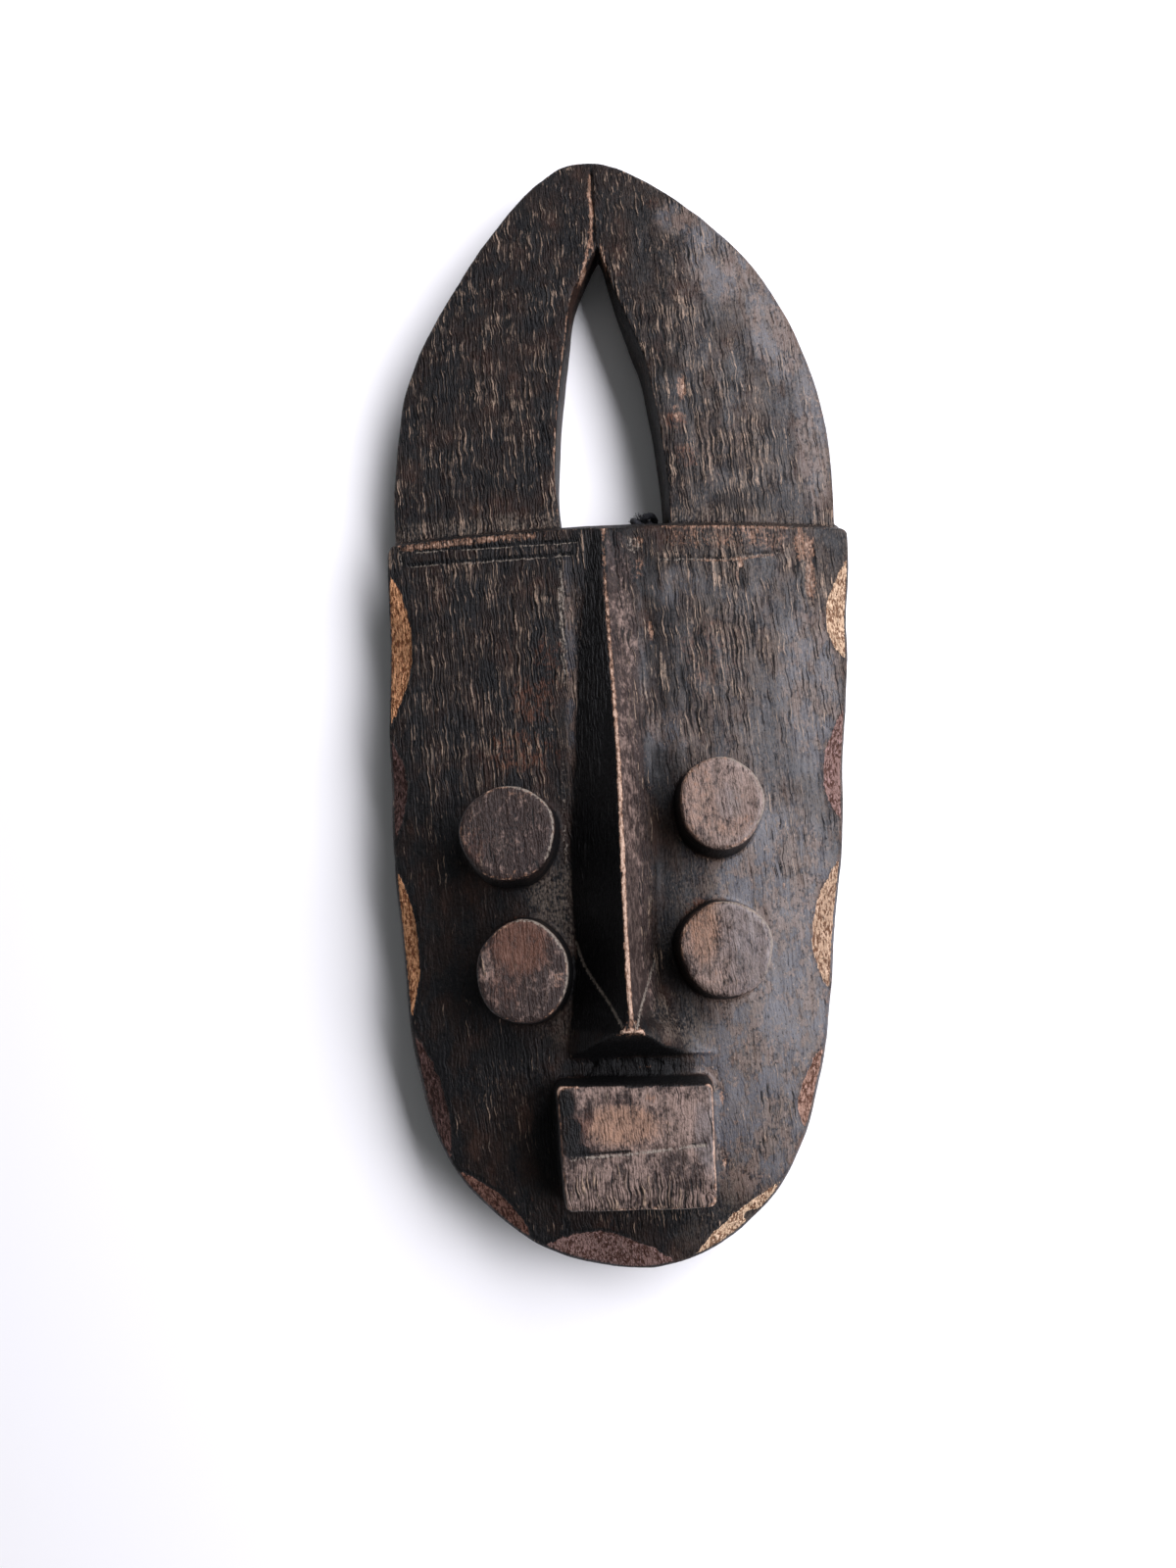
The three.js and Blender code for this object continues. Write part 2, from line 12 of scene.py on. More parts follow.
import bpy
import numpy as np
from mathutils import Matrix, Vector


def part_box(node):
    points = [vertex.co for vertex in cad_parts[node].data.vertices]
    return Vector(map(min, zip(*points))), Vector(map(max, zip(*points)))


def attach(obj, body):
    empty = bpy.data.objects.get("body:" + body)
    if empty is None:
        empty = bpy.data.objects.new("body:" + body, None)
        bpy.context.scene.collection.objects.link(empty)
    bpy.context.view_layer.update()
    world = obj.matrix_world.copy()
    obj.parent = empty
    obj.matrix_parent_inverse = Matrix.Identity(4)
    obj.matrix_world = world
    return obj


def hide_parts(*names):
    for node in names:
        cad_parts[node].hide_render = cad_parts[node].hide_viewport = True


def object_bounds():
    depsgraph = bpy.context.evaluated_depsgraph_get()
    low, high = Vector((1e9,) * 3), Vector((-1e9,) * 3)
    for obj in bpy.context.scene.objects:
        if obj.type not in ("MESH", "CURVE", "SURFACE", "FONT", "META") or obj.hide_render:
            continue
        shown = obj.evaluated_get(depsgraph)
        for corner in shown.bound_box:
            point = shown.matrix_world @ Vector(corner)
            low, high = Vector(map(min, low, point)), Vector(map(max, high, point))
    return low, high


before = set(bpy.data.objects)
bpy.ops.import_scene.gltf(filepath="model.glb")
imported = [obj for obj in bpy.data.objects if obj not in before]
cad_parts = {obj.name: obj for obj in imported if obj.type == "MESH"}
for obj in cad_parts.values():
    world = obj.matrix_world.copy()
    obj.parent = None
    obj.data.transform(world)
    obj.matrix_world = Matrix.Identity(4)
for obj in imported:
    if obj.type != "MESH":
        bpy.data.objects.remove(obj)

import openvdb
from mathutils import Matrix, Vector

CAD_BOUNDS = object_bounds()
LOG = logging.getLogger("mask")
METRES = 0.001
MIDLINE = np.array([-6.048, -1.009, 0.0])

Array = np.ndarray
Pair = tuple[float, float]
Triple = tuple[float, float, float]
Points = tuple[Pair, ...]
Patches = tuple[tuple[float, ...], ...]
Colour = Triple
Tree = bpy.types.NodeTree


def to_frame(points: Array) -> Array:
    """Takes points from millimetres off the midline to metres in the frame."""
    return (np.asarray(points, float) + MIDLINE) * METRES


def larger(a: Array, b: Array, radius: float) -> Array:
    """The larger of two fields, rounded over by a radius where they meet."""
    share = np.clip(0.5 + 0.5 * (a - b) / radius, 0, 1)
    return b + (a - b) * share + radius * share * (1 - share)


def smaller(a: Array, b: Array, radius: float) -> Array:
    """The smaller of two fields, filled in by a radius where they meet."""
    return -larger(-a, -b, radius)


def rise(value: Array, low: float, high: float) -> Array:
    """A smooth step from 0 at low to 1 at high."""
    t = np.clip((value - low) / (high - low), 0, 1)
    return t * t * (3 - 2 * t)


def fade(value: Array, full: float, gone: float) -> Array:
    """A smooth step from 1 at full down to 0 at gone."""
    return rise(-value, -gone, -full)


def band(value: Array, middle: float, full: float, gone: float) -> Array:
    """A smooth band: 1 within full of its middle, and 0 from gone on."""
    return fade(np.abs(value - middle), full, gone)


def between(value: Array, low: float, high: float) -> Array:
    """Whether each value lies between two limits."""
    return (value > low) & (value < high)


def tall(values: Array) -> Array:
    """Values over the plan as a layer that is the same at every height."""
    return values[:, :, None].astype(np.float32)


def smooth_path(keys: Array, steps: int = 6) -> Array:
    """A smooth curve through key points.

    Args:
        keys: The points it passes.
        steps: Steps between two keys.

    Returns:
        Its points, as an array of n by 2 or 3.
    """
    points = np.asarray(keys, float)
    padded = np.vstack([points[:1], points, points[-1:]])
    t = np.linspace(0, 1, steps, endpoint=False)[:, None]
    spans = []
    for a, b, c, d in zip(padded, padded[1:], padded[2:], padded[3:]):
        bend = (2 * a - 5 * b + 4 * c - d) * t**2 + (3 * b - a - 3 * c + d) * t**3
        spans.append(0.5 * (2 * b + (c - a) * t + bend))
    return np.vstack([*spans, points[-1:]])


@dataclass(frozen=True)
class Plan:
    """Places on the plan of the mask, with what can be measured there."""

    x: Array
    y: Array

    def moved(self, across: Array, along: Array) -> "Plan":
        """The places moved by distances across and along."""
        return Plan(self.x + across, self.y + along)

    def noise(self, across: float, along: float, seed: int, octaves: int = 1) -> Array:
        """Smooth seeded noise.

        Args:
            across: Its size across, in millimetres.
            along: Its size along.
            seed: Seed of its random values.
            octaves: How many halved sizes are added.

        Returns:
            Values from about -1 to 1.
        """
        size = 256
        total, weight = 0.0, 1.0
        for octave in range(octaves):
            table = np.random.default_rng(seed + octave).uniform(-1, 1, (size, size)).astype(np.float32)
            u = np.asarray(self.x * (2**octave / across) + 37.3, np.float32)
            v = np.asarray(self.y * (2**octave / along) + 61.7, np.float32)
            i, j = np.floor(u).astype(int), np.floor(v).astype(int)
            right, up = (t * t * (3 - 2 * t) for t in (u - i, v - j))
            near, far = (
                table[i % size, k % size] * (1 - right) + table[(i + 1) % size, k % size] * right
                for k in (j, j + 1)
            )
            total = total + weight * (near * (1 - up) + far * up)
            weight *= 0.5
        return total

    def nearest(self, path: Array) -> tuple[Array, Array]:
        """The nearest place on a path.

        Args:
            path: The path's points, n by 2.

        Returns:
            How far it is, and the share of the path's length there.
        """
        x, y = np.broadcast_arrays(self.x, self.y)
        lengths = np.hypot(*np.diff(path, axis=0).T)
        starts = np.concatenate([[0], np.cumsum(lengths)])
        best = np.full(x.shape, 1e9)
        share = np.zeros(x.shape)
        for (ax, ay), (bx, by), start, length in zip(path, path[1:], starts, lengths):
            if length == 0:
                continue
            t = np.clip(((x - ax) * (bx - ax) + (y - ay) * (by - ay)) / length**2, 0, 1)
            apart = (x - ax - t * (bx - ax)) ** 2 + (y - ay - t * (by - ay)) ** 2
            closer = apart < best
            best = np.where(closer, apart, best)
            share = np.where(closer, (start + t * length) / starts[-1], share)
        return np.sqrt(best), share

    def line(self, *keys: Pair) -> Array:
        """Distance from the smooth curve through key points."""
        return self.nearest(smooth_path(keys))[0]

    def loop(self, loop: Array) -> Array:
        """How far the places lie from a closed loop.

        Args:
            loop: The loop's points, n by 2, not repeated at its end.

        Returns:
            Distances, negative inside the loop.
        """
        closed = np.vstack([loop, loop[:1]])
        distance, _ = self.nearest(closed)
        inside = np.zeros(distance.shape, bool)
        for (ax, ay), (bx, by) in zip(closed, closed[1:]):
            if ay != by:
                crosses = self.x < (bx - ax) * (self.y - ay) / (by - ay) + ax
                inside ^= ((ay > self.y) != (by > self.y)) & crosses
        return np.where(inside, -distance, distance)

    def covered(self, *patches: tuple[float, ...]) -> Array:
        """The strongest of some soft oval patches.

        Args:
            patches: The centre, the half sizes across and along, and the strength of each.

        Returns:
            Strengths, 0 where there is no patch.
        """
        total = np.zeros(np.broadcast(self.x, self.y).shape)
        for x, y, across, along, strength in patches:
            reach = np.hypot((self.x - x) / across, (self.y - y) / along)
            total = np.maximum(total, strength * fade(reach, 0.45, 1.25))
        return total


class Pigment(Enum):
    """The colours left in the gouged rim crescents, as linear colour."""

    OCHRE = (0.50, 0.250, 0.122)
    CREAM = (0.55, 0.385, 0.255)
    SAND = (0.40, 0.270, 0.180)
    EARTH = (0.185, 0.095, 0.070)
    RED_EARTH = (0.215, 0.132, 0.114)
    DUSTY = (0.088, 0.049, 0.042)
    TAWNY = (0.285, 0.170, 0.126)


@dataclass(frozen=True)
class Slab:
    """A form with a drawn outline, whose sides draw in towards the back."""

    outline: Points
    side_inset: float
    side_levels: Pair

    def inset(self, z: Array) -> Array:
        """How far its side is drawn in at each height."""
        return np.interp(z, (0, *self.side_levels), (self.side_inset, self.side_inset / 6, 0))


@dataclass(frozen=True)
class FacePlate(Slab):
    """The shallow dome of the face, which ends at a bevelled step below the horns."""

    step_y: float = 54.8
    chin_y: float = -222.6
    rim_height: float = 27
    crown: float = 12
    lower_dome_y: float = -119
    lower_half_width: float = 80
    upper_half_width: float = 91.6
    upper_midline_x: float = 6
    side_inset: float = 2.4
    side_levels: Pair = (9, 18)
    bevel_run: float = 4.4
    bevel_drop: float = 8
    corner_rounding: Pair = (0.9, 1.5)
    outline: Points = (
        (-85.2, 52.5), (-85.6, 30), (-85.6, -18), (-84.4, -67), (-80.5, -115), (-73.8, -161),
        (-61.8, -187.2), (-44.6, -205), (-20.4, -218.2), (0, -222.6), (23, -218.8), (42, -209.3),
        (59, -190.6), (72, -161), (80, -119), (87, -70), (92.3, -15), (96.6, 30), (97.8, 53),
    )

    def height(self, at: Plan) -> Array:
        """Height of the dome over the back rim.

        Args:
            at: Places on the plan.

        Returns:
            A height for each.
        """
        upward = np.maximum(0, at.y - self.lower_dome_y) / (self.step_y - self.lower_dome_y)
        downward = np.maximum(0, self.lower_dome_y - at.y) / (self.lower_dome_y - self.chin_y)
        half = self.lower_half_width + (self.upper_half_width - self.lower_half_width) * upward
        across = (at.x - self.upper_midline_x * upward) / half
        return self.rim_height + self.crown * (1 - across**2 - downward**2)

    def bevel(self, at: Plan) -> Array:
        """Height of the slanting step that ends the plate at the horns."""
        down = np.minimum(at.y - self.step_y, self.bevel_run) * self.bevel_drop / self.bevel_run
        return self.height(Plan(at.x, np.float64(self.step_y))) - down

    def loop(self) -> Array:
        """Its outline in plan, with rounded upper corners.

        Returns:
            The outline's points.
        """
        round_part = smooth_path(self.outline)
        left, right = round_part[0, 0], round_part[-1, 0]
        near, far = self.corner_rounding
        top = self.step_y + self.bevel_run
        corners = [
            (right - near, self.step_y), (right - near - far, top),
            (left + near + far, top), (left + near, self.step_y),
        ]
        return np.vstack([round_part, corners])


@dataclass(frozen=True)
class Horns(Slab):
    """The two horns that meet above the window; their back rises towards the tip."""

    top_y: float = 225
    root_y: float = 46
    edge_height: float = 20.5
    crown: float = 10
    midline_x: float = 5
    half_width: float = 89
    fall_start_y: float = 90
    back_start_y: float = 59.2
    back_rise: float = 10
    side_inset: float = 1.8
    side_levels: Pair = (12, edge_height)
    outline: Points = (
        (-83.4, 58), (-82.8, 88), (-76.6, 128), (-58, 166), (-33, 203), (-17, 219.3), (-7, 224.4),
        (5, 224.6), (18, 218.8), (41, 202), (68, 172.5), (85.5, 136.5), (94, 98), (94, 58),
    )

    def height(self, at: Plan) -> Array:
        """Height of the horns' front.

        Args:
            at: Places on the plan.

        Returns:
            A height over the back rim for each.
        """
        across = (at.x - self.midline_x) / self.half_width
        upward = np.maximum(0, at.y - self.fall_start_y) / (self.top_y - self.fall_start_y)
        return self.edge_height + self.crown * np.maximum(0, 1 - across**2 - upward**2)

    def back(self, y: Array) -> Array:
        """Height of the horns' back."""
        return (y - self.back_start_y) * self.back_rise / (self.top_y - self.back_start_y)

    def loop(self) -> Array:
        """Their outline in plan, carried down behind the plate."""
        path = smooth_path(self.outline)
        return np.vstack([path, (path[-1, 0] - 1, self.root_y), (path[0, 0] + 1, self.root_y)])


@dataclass(frozen=True)
class HornWindow:
    """The open window between the horns, a little wider in front than behind."""

    front_height: float = 26
    back_height: float = 6
    sill_y: float = 59.2
    apex_front: Pair = (2.9, 182)
    apex_back: Pair = (3.9, 187.5)
    left_inset: float = 0.6
    right_inset: float = 0.8
    worn: float = 1.5
    left: Points = (
        (-16.2, 59.2), (-17.5, 79), (-16.4, 98), (-14.6, 119), (-11.3, 142), (-8.6, 158), (-3.6, 170),
    )
    right: Points = ((9.6, 161), (15.4, 144), (20, 130), (23.4, 111), (25.6, 95), (27, 77), (27.4, 59.2))

    def distances(self, at: Plan) -> tuple[Array, Array]:
        """How far places lie from its edges in plan.

        Args:
            at: The places.

        Returns:
            Signed distances from its front edge and from its back edge.
        """
        front = np.vstack([
            smooth_path([*self.left, self.apex_front]),
            smooth_path([self.apex_front, *self.right])[1:],
        ])
        up = np.clip((front[:, 1] - self.sill_y) / (self.apex_front[1] - self.sill_y), 0, 1) ** 4
        inset = np.where(front[:, 0] < self.apex_front[0], self.left_inset, -self.right_inset)
        shift = np.subtract(self.apex_back, self.apex_front)
        back = front + np.column_stack([inset * (1 - up) + shift[0] * up, shift[1] * up])
        return at.loop(front), at.loop(back)


@dataclass(frozen=True)
class Nose:
    """The long straight nose ridge, which ends in a flared tip over a slanting underside.

    A section gives its place along, the left foot, the ridge and the right foot across, and
    its height over the plate. The ones below the tip give five points each.
    """

    ridge_width: float = 1.6
    bend_across: float = 0.5
    bend_height: float = 0.36
    tip: Pair = (3.1, -136)
    outside: float = -50.0
    sections: tuple[tuple[float, ...], ...] = (
        (-131.5, -18.4, 2.9, 19, 31.7), (-122, -17.4, 2.6, 15.4, 30.5), (-108, -16, 2.4, 13.4, 28),
        (-80, -17, 2.4, 14.6, 23), (-40, -15, 2.6, 15, 16.5), (0, -12.4, 1.4, 14.6, 9.5),
        (28, -9.2, 0.5, 13.5, 5), (50, -5.4, 0.5, 11.5, 2.6), (58, -4.4, 0.6, 10.4, 2.2),
    )
    below: tuple[tuple[float, Points], ...] = (
        (-146.2, ((-19.7, -0.3), (-18, 0), (19, 0), (21, 0), (25.2, -0.3))),
        (-143, ((-19.4, -0.3), (-14, 9.8), (15.4, 9.8), (17.4, 8.4), (24, 0))),
        (-139.6, ((-19.3, -0.3), (-8.2, 20.6), (12, 20.6), (14.2, 13.4), (22.6, 0))),
        (-136, ((-19.1, -0.3), (-0.6, 32), (6.8, 32), (14, 13.5), (21.2, 0.3))),
    )
    nostril_left: Points = ((-15.4, -104), (-12, -114), (-4.9, -125), (-0.2, -133.8))
    nostril_right: Points = ((13.2, -112), (9.4, -121.6), (6.4, -129), (4.9, -134.5))

    def profiles(self, plate: FacePlate) -> tuple[Array, Array, Array]:
        """Its cross-sections as five points each.

        Args:
            plate: The plate it stands on.

        Returns:
            The sections' places along, and the five places across and five heights of each.
        """
        rows = []
        for y, points in self.below:
            base = plate.height(Plan(0, y))
            rows.append((y, [x for x, _ in points], [base + z for _, z in points]))
        half = self.ridge_width / 2
        for y, left, ridge, right, height in self.sections:
            base = plate.height(Plan(ridge, y))
            feet = [plate.height(Plan(x, y)) - 0.2 for x in (left, right)]
            bend = ridge + (right - ridge) * self.bend_across
            heights = (feet[0], base + height, base + height, base + height * self.bend_height, feet[1])
            rows.append((y, (left, ridge - half, ridge + half, bend, right), heights))
        return tuple(np.array(column, float) for column in zip(*rows))

    def height(self, at: Plan, plate: FacePlate) -> Array:
        """Its height over the plan.

        Args:
            at: Places on the plan.
            plate: The plate it stands on.

        Returns:
            Heights above the back rim, far below the plate outside the nose.
        """
        x, y = np.broadcast_arrays(at.x, at.y)
        places, across, heights = self.profiles(plate)
        xs, zs = ([np.interp(y, places, table[:, k]) for k in range(5)] for table in (across, heights))
        result = np.full(x.shape, self.outside)
        for k, low, high in ((0, -2, 1), (1, 0, 1), (2, 0, 1), (3, 0, 3)):
            share = (x - xs[k]) / np.maximum(xs[k + 1] - xs[k], 1e-6)
            here = (share >= low) & (share <= high)
            result = np.where(here, zs[k] + (zs[k + 1] - zs[k]) * share, result)
        return np.where((y >= places[0]) & (y <= places[-1]), result, self.outside)

    def ridge_x(self, y: Array) -> Array:
        """Where the ridge runs."""
        ys, xs = zip(self.tip[::-1], *((row[0], row[2]) for row in self.sections))
        return np.interp(y, ys, xs)


@dataclass(frozen=True, kw_only=True)
class Stud:
    """A block that stands out of the plate on a foot that widens downwards."""

    front_height: float = 59.5
    base_height: float = 24
    base_flare: float = 2.2
    edge_wear: float = 2.0
    base_fillet: float = 1.8
    margin: float = 9

    def join(self, solid: Array, axes: list[Array], low: Array, high: Array) -> None:
        """Joins it to the solid, in place.

        Args:
            solid: The solid's field.
            axes: Positions along each of the field's axes.
            low: The lower left corner of its front.
            high: The upper right corner of its front.
        """
        i, j = (
            slice(*np.searchsorted(axis, (a - self.margin, b + self.margin)))
            for axis, a, b in zip(axes, low, high)
        )
        z = axes[2]
        at = Plan(axes[0][i, None], axes[1][None, j])
        foot = np.clip((self.front_height - z) / (self.front_height - self.base_height), 0, 1)
        side = self.side(at)[:, :, None] - self.base_flare * foot
        post = larger(side, z - self.top(at)[:, :, None], self.edge_wear)
        solid[i, j] = smaller(solid[i, j], post.astype(np.float32), self.base_fillet)

    def is_front(self, skin: "Skin") -> Array:
        """Where the skin is its front."""
        high = rise(skin.z, self.front_height - 4, self.front_height - 1.5)
        return fade(self.distance(skin), 0.5, 2.5) * high


@dataclass(frozen=True)
class EyePeg(Stud):
    """A round peg that stands for an eye: its centre, half sizes and paleness."""

    x: float
    y: float
    rx: float
    ry: float
    pale: float
    crack: Points = ((-28.6, -75.2), (-26.6, -78.6), (-25.6, -80.4))

    def distance(self, at: Plan) -> Array:
        """Signed distance in plan from the rim of its front disc.

        Args:
            at: Places on the plan.

        Returns:
            Distances, negative inside.
        """
        across, along = (at.x - self.x) / self.rx, (at.y - self.y) / self.ry
        angle = np.arctan2(along, across)
        uneven = 1 + 0.016 * np.sin(3 * angle + self.x) + 0.013 * np.cos(5 * angle + self.y)
        return (np.hypot(across, along) / uneven - 1) * (self.rx + self.ry) / 2

    def side(self, at: Plan) -> Array:
        """Signed distance from its carved side."""
        return self.distance(at) + 0.25 * at.noise(5, 6, 43)

    def top(self, at: Plan) -> Array:
        """Height of its front, with the grain and the crack."""
        grain = 0.16 * at.noise(1.6, 8, 41) + 0.25 * at.noise(11, 13, 42)
        return self.front_height - 0.35 + grain - 0.4 * fade(at.line(*self.crack), 0, 0.7)

    def reach(self) -> tuple[Pair, Pair]:
        """The corners of its front."""
        return (self.x - self.rx, self.y - self.ry), (self.x + self.rx, self.y + self.ry)


@dataclass(frozen=True)
class MouthBlock(Stud):
    """The block that stands for the mouth, with one cut line across it."""

    front_height: float = 56
    corner_radius: float = 2.4
    base_flare: float = 2.4
    edge_wear: float = 1.5
    base_fillet: float = 1.4
    corners: Points = ((-23.9, -154.1), (30.8, -154.9), (30.2, -196.4), (-21.8, -196.2))
    cut: Points = ((-19.5, -178), (4, -176.8), (27.2, -174.9))
    broken_corner: tuple[float, ...] = (28.6, -193.6, 4.2, 3.4, 1.7)

    def distance(self, at: Plan) -> Array:
        """Signed distance in plan from the rim of its front.

        Args:
            at: Places on the plan.

        Returns:
            Distances, negative inside.
        """
        corners = np.array(self.corners)
        inner = corners - np.sign(corners - corners.mean(axis=0)) * self.corner_radius
        return at.loop(inner) - self.corner_radius

    def side(self, at: Plan) -> Array:
        """Signed distance from its carved side."""
        return self.distance(at) + 0.25 * at.noise(7, 7, 53)

    def top(self, at: Plan) -> Array:
        """Height of its front, with the grain, the cut line and the broken corner.

        Args:
            at: Places on the plan.

        Returns:
            A height for each.
        """
        grain = 0.18 * at.noise(1.6, 9, 51) + 0.22 * at.noise(14, 12, 52)
        whole = self.front_height - 0.3 + grain - 0.9 * fade(at.line(*self.cut), 0, 0.85)
        return whole - at.covered(self.broken_corner)

    def reach(self) -> tuple[Array, Array]:
        """The corners of its front."""
        return np.min(self.corners, axis=0), np.max(self.corners, axis=0)


@dataclass(frozen=True)
class Crescent:
    """A crescent gouged into the rim: both ends, its deepest point and the pigment left in it."""

    start: Pair
    deepest: Pair
    end: Pair
    pigment: Pigment
    strength: float = 1.0

    def shape(self, overhang: float = 9.0) -> tuple[Array, Array]:
        """Its shape in plan.

        Args:
            overhang: How far the cut runs out past the rim.

        Returns:
            Its inner arc, and the whole loop that it takes from the rim.
        """
        a, middle, b = (np.array(p, float) for p in (self.start, self.deepest, self.end))
        t = np.linspace(0, 1, 19)[:, None]
        arc = a * (1 - t) ** 2 + 2 * (2 * middle - (a + b) / 2) * t * (1 - t) + b * t**2
        outward = np.array([b[1] - a[1], a[0] - b[0]]) / np.hypot(*(b - a))
        if outward @ (middle - (a + b) / 2) > 0:
            outward = -outward
        return arc, np.vstack([arc, b + outward * overhang, a + outward * overhang])


@dataclass(frozen=True)
class RimCrescents:
    """The eleven crescents round the rim."""

    inner_step: float = 0.9
    slope: float = 0.6
    end_slope: float = 0.2
    roughness: float = 0.45
    none: float = 1e3
    bites: tuple[Crescent, ...] = (
        Crescent((-85.6, 45.5), (-75.8, 13), (-85.6, -18.5), Pigment.OCHRE),
        Crescent((-85.5, -23), (-78.6, -42), (-84.4, -64), Pigment.DUSTY),
        Crescent((-83.9, -73), (-75, -101.5), (-78.4, -132.5), Pigment.OCHRE),
        Crescent((-78, -134.5), (-66.6, -156), (-64.2, -183.5), Pigment.DUSTY, 0.8),
        Crescent((-63.6, -185), (-45.4, -195.6), (-34.6, -211.5), Pigment.EARTH),
        Crescent((-31.6, -213.3), (-8.6, -208.6), (17, -220.3), Pigment.RED_EARTH),
        Crescent((97.8, 45), (86.6, 19), (94, 1.5), Pigment.CREAM),
        Crescent((92.4, -16), (81.4, -42), (87.9, -62), Pigment.RED_EARTH),
        Crescent((86.7, -73.5), (73.2, -102), (79, -126), Pigment.SAND, 0.9),
        Crescent((76.1, -143.5), (65, -160.8), (66.6, -176), Pigment.TAWNY, 0.9),
        Crescent((57.2, -193), (38.8, -203.6), (22, -219.2), Pigment.CREAM),
    )

    def cut(self, at: Plan, plate: FacePlate) -> tuple[Array, Array, Array]:
        """The gouged surface.

        Args:
            at: Places on the plan.
            plate: The plate they are cut into.

        Returns:
            The height of the cut (very high where there is none), the signed distance from the
            crescents' edge, and the pigment's colour with its strength as four values.
        """
        x, y = np.broadcast_arrays(at.x, at.y)
        height, edge = np.full(x.shape, self.none), np.full(x.shape, self.none)
        tint = np.zeros((*x.shape, 4))
        for bite in self.bites:
            arc, loop = bite.shape()
            low, high = loop.min(axis=0) - 3, loop.max(axis=0) + 3
            near = between(x, low[0], high[0]) & between(y, low[1], high[1])
            if not near.any():
                continue
            here = Plan(x[near], y[near])
            distance, share = here.nearest(arc)
            apart = here.loop(loop) + 0.5 * here.noise(2.4, 3.0, 72)
            swell = np.sin(np.pi * share)
            on_arc = Plan(*(np.interp(share, np.linspace(0, 1, len(arc)), arc[:, k]) for k in range(2)))
            slope = self.end_slope + (self.slope - self.end_slope) * swell
            cut = plate.height(on_arc) - self.inner_step * swell - slope * distance
            cut = cut - self.roughness * swell * np.abs(here.noise(3.4, 4.2, 71, 2))
            height[near] = np.where(apart < 0, np.minimum(height[near], cut), height[near])
            mine = apart < edge[near]
            edge[near] = np.where(mine, apart, edge[near])
            tint[near] = np.where(mine[:, None], [*bite.pigment.value, bite.strength], tint[near])
        return height, edge, tint


@dataclass(frozen=True)
class HollowBack:
    """The hollow behind the face: a dome under the plate inside a level rim."""

    wall: float = 13
    rim_width: float = 13
    top_y: float = 44.7
    corner_inset: tuple[float, ...] = (0, 0, 6, 21, 45)
    corner_height: tuple[float, ...] = (-5, 5, 17, 24, 31)
    tool_depth: float = 0.7

    def distance(self, at: Plan, plate: FacePlate) -> Array:
        """Signed distance in plan from the hollow's edge on the back."""
        return np.maximum(at.loop(plate.loop()) + self.rim_width, at.y - self.top_y)

    def ceiling(self, at: Plan, plate: FacePlate) -> Array:
        """Height of the hollow's surface, with shallow gouge strokes along the grain."""
        return plate.height(at) - self.wall - self.tool_depth * np.abs(at.noise(6, 26, 31, 2))


@dataclass(frozen=True)
class KnifeLines:
    """The border lines cut into the plate under the step, and the crease between the horns."""

    width: float = 1.7
    depth: float = 0.9
    border: tuple[Points, ...] = (
        ((-79.5, 52.2), (-55.5, 50.7), (-32.2, 50), (-9.6, 50)),
        ((-76.8, 46.1), (-55.7, 45.3), (-32.4, 44.8), (-11.7, 44.9)),
        ((-80.4, 53.8), (-79.6, 46.9)),
        ((21.2, 42), (36.1, 41.9), (50.7, 42.1), (69.6, 44.8)),
    )
    seam: Points = ((1.6, 221), (1.7, 205), (1.9, 188), (2.9, 178))
    seam_width: float = 2.2
    seam_depth: float = 1.6

    def depth_at(self, at: Plan) -> Array:
        """How deep the lines are cut at each place.

        Args:
            at: The places.

        Returns:
            Depths in millimetres.
        """
        wander = 0.35 * at.noise(5, 5, 5)
        border = np.minimum.reduce([at.moved(0, wander).line(*keys) for keys in self.border])
        seam = self.seam_depth * fade(at.moved(wander, 0).line(*self.seam), 0, self.seam_width / 2)
        return np.maximum(self.depth * fade(border, 0, self.width / 2), seam)


@dataclass(frozen=True)
class FieldBlock:
    """The block of points in which the solid is worked out, in millimetres."""

    low: Triple = (-88.4, -225.8, -1.5)
    high: Triple = (100.6, 227.6, 72.6)
    step: Triple = (0.75, 1.1, 0.8)

    def axes(self) -> list[Array]:
        """Positions along each axis."""
        return [np.arange(a, b, s, dtype=np.float32) for a, b, s in zip(self.low, self.high, self.step)]

    def skin(self, values: Array) -> tuple[Array, Array]:
        """The surface where the values change sign.

        Args:
            values: The field over the block, negative inside the solid.

        Returns:
            The surface's points in millimetres and its quads, facing outwards.
        """
        grid = openvdb.FloatGrid(background=10.0)
        grid.copyFromArray(values.astype(np.float32))
        points, quads = grid.convertToQuads(isovalue=0.0)
        points = points * np.array(self.step) + np.array(self.low)
        a, b, c, d = (points[quads[:, k]] for k in range(4))
        volume = np.einsum("ij,ij->i", np.cross(c - a, d - b), a + b + c + d).sum()
        return points, quads if volume > 0 else quads[:, ::-1]


def make_mesh(name: str, points: Array, faces: Array) -> bpy.types.Mesh:
    """A mesh from points in metres and faces of one size.

    Args:
        name: Its name.
        points: n by 3.
        faces: m by 3 or m by 4.

    Returns:
        The mesh, smooth shaded.
    """
    mesh = bpy.data.meshes.new(name)
    count, corners = faces.shape
    mesh.vertices.add(len(points))
    mesh.vertices.foreach_set("co", np.ascontiguousarray(points, np.float32).ravel())
    mesh.loops.add(count * corners)
    mesh.loops.foreach_set("vertex_index", np.ascontiguousarray(faces, np.int32).ravel())
    mesh.polygons.add(count)
    mesh.polygons.foreach_set("loop_start", np.arange(0, count * corners, corners, dtype=np.int32))
    mesh.update(calc_edges=True)
    mesh.validate()
    mesh.shade_smooth()
    return mesh


